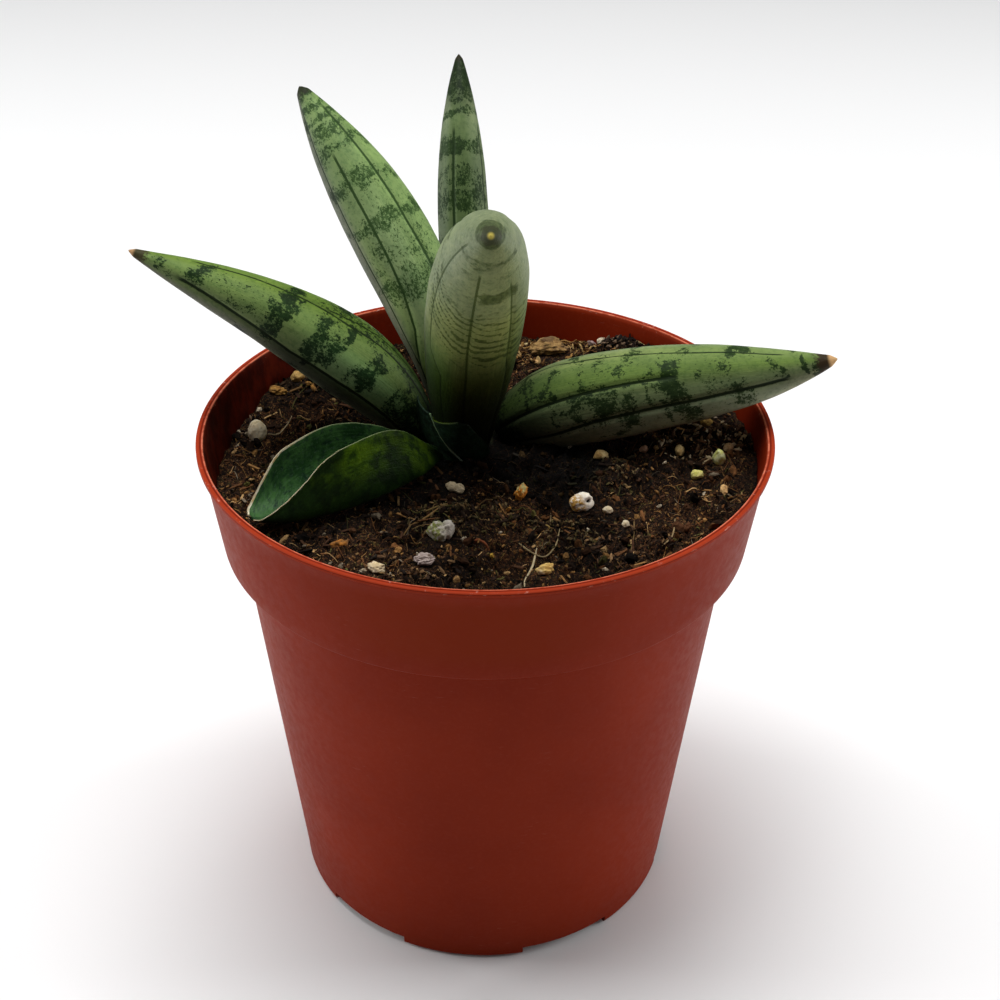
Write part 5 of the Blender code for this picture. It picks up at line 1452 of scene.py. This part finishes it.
def folded_leaf():
    """A boat-shaped sheet on the mix: front margin, keel and back margin, by fractions of its length.

    Stops: fraction, front margin (towards the viewer's side, height), keel (side, height), back margin."""
    stops = [(0.00, 1.2, 2.2, 0.5, 0.9, -0.6, 2.8),
             (0.10, 2.5, 6.1, 1.6, 0.7, -1.4, 5.4),
             (0.30, 4.0, 12.4, 2.6, 0.5, -2.4, 10.3),
             (0.50, 4.6, 13.5, 3.0, 0.5, -4.3, 12.3),
             (0.70, 3.7, 10.8, 2.5, 0.6, -5.0, 11.1),
             (0.80, 3.3, 7.6, 2.0, 0.8, -4.9, 9.8),
             (0.90, 2.7, 4.8, 1.2, 1.2, -4.0, 6.3),
             (0.97, 2.1, 3.3, 0.2, 1.7, -3.4, 3.4),
             (1.00, 1.4, 2.7, -0.4, 2.0, -2.6, 2.8),
             (1.015, 0.5, 2.5, -0.6, 2.2, -1.6, 2.6)]
    rows, cols = 130, 61
    f = np.linspace(0, 1.015, rows)
    fw, fh, kw, kh, gw, gh = (spline(f, stops, c) for c in range(1, 7))
    run = FOLDED_TIP - FOLDED_BASE
    ahead_ = run / np.linalg.norm(run)
    front = np.array([ahead_[1], -ahead_[0]])
    if front[1] > 0:
        front = -front
    line_ = np.stack([f * 38.0, np.zeros(rows), np.zeros(rows)], 1)
    wav = (fbm(line_, 0.45, 3, 77, 0.6) - 0.5) * 1.0 * (0.4 + 0.6 * smoothstep(0.45, 0.7, f))
    edge_fade = smoothstep(0.0, 0.15, f) * smoothstep(1.0, 0.9, f)
    fh = fh + wav * edge_fade
    gh = gh + 0.7 * wav[::-1] * edge_fade
    v_ = np.linspace(0, 1, cols)
    phi = np.pi * v_
    mid, half = (fw + gw) / 2, (fw - gw) / 2
    drop = np.sin(phi) ** 0.72
    side = mid[:, None] + half[:, None] * np.cos(phi)[None, :] + (kw - mid)[:, None] * np.sin(phi)[None, :] ** 1.2
    side = side + (1.1 * edge_fade * (fh / 13.0))[:, None] * np.sin(2 * phi)[None, :] * np.where(v_ < 0.5, 1.0, 0.5)[None, :]
    top_ = fh[:, None] * (1 - v_)[None, :] + gh[:, None] * v_[None, :]
    tall = top_ * (1 - drop)[None, :] + kh[:, None] * drop[None, :]
    place_ = FOLDED_BASE[None, :] + run[None, :] * f[:, None]
    xy = place_[:, None, :] + front[None, None, :] * side[:, :, None]
    mid_pts = np.concatenate([xy, (88.35 + tall)[:, :, None]], axis=2)
    du = np.gradient(mid_pts, axis=0)
    dv = np.gradient(mid_pts, axis=1)
    nrm = np.cross(du, dv)
    nrm /= np.maximum(np.linalg.norm(nrm, axis=2), 1e-9)[..., None]
    # out = away from the hollow
    hollow = mid_pts.mean(axis=1, keepdims=True) + np.array([0, 0, 6.0])
    if ((mid_pts - hollow) * nrm).sum() < 0:
        nrm = -nrm
    # the outer face is the shape above; the thickness grows inwards
    thick = 0.17 + 0.95 * np.sin(phi)[None, :] ** 0.5 * np.minimum(1.0, 0.35 + edge_fade)[:, None] * np.ones((rows, 1))
    loops = []
    outer = mid_pts
    inner = mid_pts - nrm * thick[..., None]
    # each row: outer from front to back, then inner back again, with a rounded lip at both margins
    lip = 3
    ring_pts, face_in, margin, across = [], [], [], []
    for i in range(rows):
        row, side_in, edge, where = [], [], [], []
        for j in range(cols):
            row.append(outer[i, j]); side_in.append(0.0); edge.append(min(j, cols - 1 - j)); where.append(v_[j])
        for q in range(1, lip + 1):
            a_ = math.pi * q / (lip + 1)
            c_, r_ = (outer[i, -1] + inner[i, -1]) / 2, thick[i, -1] / 2
            up_ = outer[i, -1] - outer[i, -2]
            up_ /= max(np.linalg.norm(up_), 1e-9)
            row.append(c_ + nrm[i, -1] * r_ * math.cos(a_) + up_ * r_ * math.sin(a_)); side_in.append(q / (lip + 1)); edge.append(0); where.append(1.0)
        for j in range(cols - 1, -1, -1):
            row.append(inner[i, j]); side_in.append(1.0); edge.append(min(j, cols - 1 - j)); where.append(v_[j])
        for q in range(1, lip + 1):
            a_ = math.pi * q / (lip + 1)
            c_, r_ = (outer[i, 0] + inner[i, 0]) / 2, thick[i, 0] / 2
            up_ = outer[i, 0] - outer[i, 1]
            up_ /= max(np.linalg.norm(up_), 1e-9)
            row.append(c_ - nrm[i, 0] * r_ * math.cos(a_) + up_ * r_ * math.sin(a_)); side_in.append(1 - q / (lip + 1)); edge.append(0); where.append(0.0)
        ring_pts.append(row); face_in.append(side_in); margin.append(edge); across.append(where)
    m = len(ring_pts[0])
    verts = np.array(ring_pts).reshape(-1, 3)
    faces = grid_faces(rows, m)
    faces.append(tuple(range(m)))
    faces.append(tuple(rows * m - 1 - j for j in range(m)))
    obj = make_mesh("leaf_folded_flesh", verts, faces)
    # distance from the margin, in millimetres, along the sheet
    seg = np.linalg.norm(np.diff(mid_pts, axis=1), axis=2)
    runv = np.concatenate([np.zeros((rows, 1)), np.cumsum(seg, axis=1)], axis=1)
    away = np.minimum(runv, runv[:, -1:] - runv)
    dist = np.zeros((rows, m))
    dist[:, :cols] = away
    dist[:, cols + lip:2 * cols + lip] = away[:, ::-1]
    point_floats(obj, "from_margin", dist.ravel())
    point_floats(obj, "inner", np.array(face_in).ravel())
    point_floats(obj, "along", np.repeat(f, m))
    point_floats(obj, "across", np.array(across).ravel())
    length = np.linalg.norm(run)
    flat = np.stack([np.repeat(f * length, m), np.where(np.array(across).ravel() < 0.5, dist.ravel(), 30 - dist.ravel()), np.array(face_in).ravel() * 40.0], 1)
    point_vectors(obj, "unbent", flat)
    facing_out(obj)
    return obj


def folded_material():
    n = Nodes("folded_leaf_skin")
    flat = n.attribute("unbent", "Vector")
    inner, dist, s, v = n.attribute("inner"), n.attribute("from_margin"), n.attribute("along"), n.attribute("across")
    a = n.noise(flat, 0.28, 4, 0.6)
    b = n.noise(flat, 0.9, 4, 0.65)
    c = n.noise(flat, 0.13, 2, 0.5)
    outside = n.mix(n.step(a, 0.40, 0.60), srgb(13, 30, 8), srgb(24, 46, 12))
    high = n.step(dist, 9.0, 1.5)
    near_tip = n.step(n.math("ABSOLUTE", n.math("SUBTRACT", s, 0.50)), 0.17, 0.06)
    near_base = n.step(n.math("ABSOLUTE", n.math("SUBTRACT", s, 0.19)), 0.15, 0.05)
    spots = n.math("MAXIMUM", n.math("MULTIPLY", n.step(c, 0.52, 0.62), 0.6), n.math("MAXIMUM", near_tip, near_base))
    spots = n.math("MULTIPLY", spots, n.step(a, 0.36, 0.52, 0.35, 1.0))
    outside = n.mix(n.math("MULTIPLY", spots, high), outside, n.mix(n.step(a, 0.4, 0.6), srgb(44, 74, 8), srgb(74, 104, 12)))
    outside = n.mix(n.step(b, 0.52, 0.66, 0, 0.45), outside, n.mix(1.0, outside, (2.0, 1.8, 1.2), how='MULTIPLY'))
    inside = n.mix(n.step(a, 0.40, 0.60), srgb(32, 64, 30), srgb(60, 98, 50))
    inside = n.mix(n.step(b, 0.50, 0.62, 0, 0.75), inside, srgb(15, 38, 28))
    inside = n.mix(n.step(n.noise(flat, 1.8, 3, 0.7), 0.54, 0.62, 0, 0.45), inside, srgb(74, 106, 72))
    colour = n.mix(n.step(inner, 0.4, 0.6), outside, inside)
    streaks = n.noise(flat, 1.0, 3, 0.6, stretch=(0.15, 2.2, 1))
    colour = n.mix(n.step(streaks, 0.5, 0.7, 0, 0.25), colour, n.mix(1.0, colour, (1.5, 1.45, 1.3), how='MULTIPLY'))
    # a cream margin, widest at the far left, thin and green towards the base
    back = n.step(v, 0.4, 0.6)
    wide = n.math("ADD", 0.02, n.math("MULTIPLY", n.step(s, 0.5, 0.85), n.math("ADD", 0.04, n.math("MULTIPLY", back, 0.26))))
    wob = n.math("MULTIPLY", n.math("SUBTRACT", b, 0.5), 0.45)
    cream = n.step(n.math("ADD", dist, wob), n.math("ADD", wide, 0.06), n.math("SUBTRACT", wide, 0.06))
    shade = n.mix(n.step(n.noise(flat, 0.7, 3, 0.6), 0.42, 0.60), srgb(240, 232, 206), srgb(214, 182, 122))
    shade = n.mix(n.step(s, 0.80, 0.50), shade, srgb(138, 150, 108))
    shade = n.mix(n.step(s, 0.45, 0.15), shade, srgb(66, 88, 44))
    colour = n.mix(n.math("MULTIPLY", cream, 0.9), colour, shade)
    height = n.math("ADD", n.noise(flat, 3.0, 3, 0.6), n.noise(flat, 0.8, 3, 0.6, stretch=(0.2, 2.0, 1)))
    return n.finish(colour=colour, rough=n.step(b, 0.3, 0.7, 0.38, 0.55), normal=n.bump(height, 0.00012, 0.8), Specular_IOR_Level=0.12)


folded = folded_leaf()
folded.data.materials.append(folded_material())
place(folded, "leaf_folded")


# ---- stem and sheaths ----------------------------------------------------------------------------------
def stem_material():
    n = Nodes("stem_tissue")
    p = n.object_mm()
    colour = n.mix(n.step(n.noise(p, 0.6, 4, 0.6), 0.4, 0.62), srgb(12, 14, 8), srgb(26, 28, 16))
    colour = n.mix(n.step(n.noise(p, 1.4, 4, 0.6, stretch=(1, 1, 0.3)), 0.5, 0.68, 0, 0.7), colour, srgb(44, 34, 22))
    height = n.noise(p, 1.8, 4, 0.65, stretch=(1, 1, 0.35))
    return n.finish(colour=colour, rough=0.7, normal=n.bump(height, 0.0003, 0.8), Specular_IOR_Level=0.04)


def stem_mesh():
    rows, around = 70, 120
    long_r, wide_r = 12.6, 11.4
    profile = dense([(0.0, 89.9), (4.4, 89.3), (7.0, 88.2), (9.4, 87.3), (11.8, 86.7), (12.6, 86.2), (12.6, 83.9), (9.1, 79.1), (0.0, 79.1)], 0.6)
    verts, rings = [], []
    for r, z in profile:
        if r < 1e-6:
            rings.append([len(verts)])
            verts.append((-3.4, 12.2, z))
            continue
        ring_ = []
        for j in range(around):
            a = math.tau * j / around
            # overlapping old sheath rims: shallow terraces that wind round the stem
            rim = 0.25 * math.sin(3.2 * r + 2.0 * a) + 0.15 * math.sin(5 * a + r)
            dz = rim * max(0.0, min(1.0, (z - 86.0) / 1.5)) * 0.8
            ring_.append(len(verts))
            verts.append((-3.4 + r * math.cos(a), 12.2 + r * wide_r / long_r * math.sin(a), min(z + dz, 89.9)))
        rings.append(ring_)
    faces = []
    for p, q in zip(rings, rings[1:]):
        for j in range(around):
            k = (j + 1) % around
            if len(p) == 1:
                faces.append((p[0], q[k], q[j]))
            elif len(q) == 1:
                faces.append((p[j], p[k], q[0]))
            else:
                faces.append((p[j], p[k], q[k], q[j]))
    obj = make_mesh("stem_crown", verts, faces, stem_material())
    facing_out(obj)
    return obj


place(stem_mesh(), "stem_base")


def sheath_material():
    n = Nodes("sheath_skin")
    flat = n.attribute("unbent", "Vector")
    margin = n.attribute("from_margin")
    a = n.noise(flat, 0.5, 4, 0.6)
    b = n.noise(flat, 1.5, 3, 0.7)
    colour = n.mix(n.step(a, 0.4, 0.6), srgb(12, 26, 14), srgb(24, 44, 26))
    colour = n.mix(n.step(b, 0.52, 0.62, 0, 0.6), colour, srgb(40, 64, 50))
    pale = n.attribute("edge_tint", "Color")
    colour = n.mix(n.step(margin, 0.26, 0.12, 0, 0.9), colour, pale)
    height = n.noise(flat, 2.0, 3, 0.6, stretch=(0.2, 2.0, 1))
    return n.finish(colour=colour, rough=0.55, normal=n.bump(height, 0.0001, 0.7), Specular_IOR_Level=0.1)


def sheet(name, outer, away, thickness, margin_mm, edge_tint):
    """A thin closed sheet from a grid of points (rows, cols, 3) and the way its thickness grows."""
    rows, cols = outer.shape[:2]
    inner = outer - away * thickness
    lip = (outer + inner) / 2
    ring_pts = np.concatenate([outer, inner[:, ::-1]], axis=1)
    m = 2 * cols
    faces = grid_faces(rows, m)
    for i in (0, rows - 1):
        for j in range(cols - 1):
            a, b = i * m + j, i * m + j + 1
            c, d = i * m + m - 2 - j, i * m + m - 1 - j
            faces.append((a, b, c, d) if i else (d, c, b, a))
    obj = make_mesh(name, ring_pts.reshape(-1, 3), faces, sheath_skin)
    both = np.concatenate([margin_mm, margin_mm[:, ::-1]], axis=1)
    point_floats(obj, "from_margin", both.ravel())
    tint = np.concatenate([edge_tint, edge_tint[:, ::-1]], axis=1)
    point_colours(obj, "edge_tint", tint.reshape(-1, 3))
    point_vectors(obj, "unbent", ring_pts.reshape(-1, 3))
    facing_out(obj)
    return obj


sheath_skin = sheath_material()


def collar():
    """The sheath that holds the front leaf's base, with a slanting upper margin."""
    leaf = LEAVES["leaf_front"]
    rows, cols = 46, 90
    angles = np.linspace(88.0, 262.0, cols)
    top_at = np.interp(angles, [88, 110, 140, 165, 180, 200, 235, 262], [0.11, 0.135, 0.168, 0.196, 0.19, 0.13, 0.05, 0.0])
    out = np.zeros((rows, cols, 3))
    away = np.zeros((rows, cols, 3))
    dist = np.zeros((rows, cols))
    for j in range(cols):
        s = np.linspace(-0.03, top_at[j], rows)
        inside = np.clip(s, 0, 1)
        p, v, nrm, side, length = leaf_line(leaf, np.append(inside, 1.0))
        p, v, nrm, side = p[:-1], v[:-1], nrm[:-1], side[:-1]
        p = p + v * ((s - inside) * length)[:, None]
        r = leaf_girth(leaf, inside)
        a = math.radians(angles[j])
        w = nrm * math.cos(a) + side * math.sin(a)
        swell = 0.22 + 0.25 * np.sin(np.pi * np.clip((s + 0.03) / (top_at[j] + 0.03), 0, 1))
        out[:, j] = p + w * (r + swell + 0.1)[:, None]
        away[:, j] = w
        dist[:, j] = np.minimum((top_at[j] - s) * length, np.minimum(angles[j] - 88.0, 262.0 - angles[j]) * 0.08)
    fade = smoothstep(140, 172, angles)[None, :, None]
    tint = np.array(srgb(66, 84, 12))[None, None, :] * (1 - fade) + np.array(srgb(12, 18, 6))[None, None, :] * fade
    return sheet("sheath_collar", out, away, 0.3, dist, np.repeat(tint, rows, axis=0))


def clasp():
    """The left leaf's sheath, that reaches across the front of the crown to a thin pale margin."""
    rows, cols = 70, 40
    u = np.linspace(0, 1, rows)[:, None]
    margin = np.array([(-9.9, 0.4, 98.6), (-9.0, -0.1, 96.2), (-7.8, -0.5, 93.9), (-6.3, -0.7, 91.6), (-4.4, -0.6, 89.4), (-2.0, -0.3, 87.5)])
    root = np.array([(-12.4, 5.2, 99.6), (-12.6, 5.6, 97.2), (-12.6, 6.2, 94.6), (-12.2, 6.6, 92.0), (-11.4, 7.2, 89.6), (-10.4, 7.8, 87.4)])
    t = np.linspace(0, 1, len(margin))
    m_ = np.stack([np.interp(u[:, 0], t, margin[:, k]) for k in range(3)], 1)
    r_ = np.stack([np.interp(u[:, 0], t, root[:, k]) for k in range(3)], 1)
    for _ in range(3):      # rounds the corners of both lines
        m_[1:-1] = (m_[:-2] + 2 * m_[1:-1] + m_[2:]) / 4
        r_[1:-1] = (r_[:-2] + 2 * r_[1:-1] + r_[2:]) / 4
    out_ = np.array([-0.62, -0.78, 0.0])
    mid = (m_ + r_) / 2 + out_ * 1.5
    v = np.linspace(0, 1, cols)[None, :, None]
    grid = (1 - v) ** 2 * r_[:, None] + 2 * v * (1 - v) * mid[:, None] + v * v * m_[:, None]
    du, dv = np.gradient(grid, axis=0), np.gradient(grid, axis=1)
    w = np.cross(du, dv)
    w /= np.maximum(np.linalg.norm(w, axis=2), 1e-9)[..., None]
    if (w @ out_).mean() < 0:
        w = -w
    gap = np.linalg.norm(m_ - r_, axis=1)[:, None] * (1 - v[..., 0])
    dist = gap
    fade = smoothstep(0.1, 1.0, u)[..., None]
    tint = np.array(srgb(132, 160, 118))[None, None, :] * (1 - fade) + np.array(srgb(104, 110, 100))[None, None, :] * fade
    return sheet("sheath_clasp", grid, w, 0.3, dist, np.repeat(tint, cols, axis=1))


place(collar(), None)
place(clasp(), None)
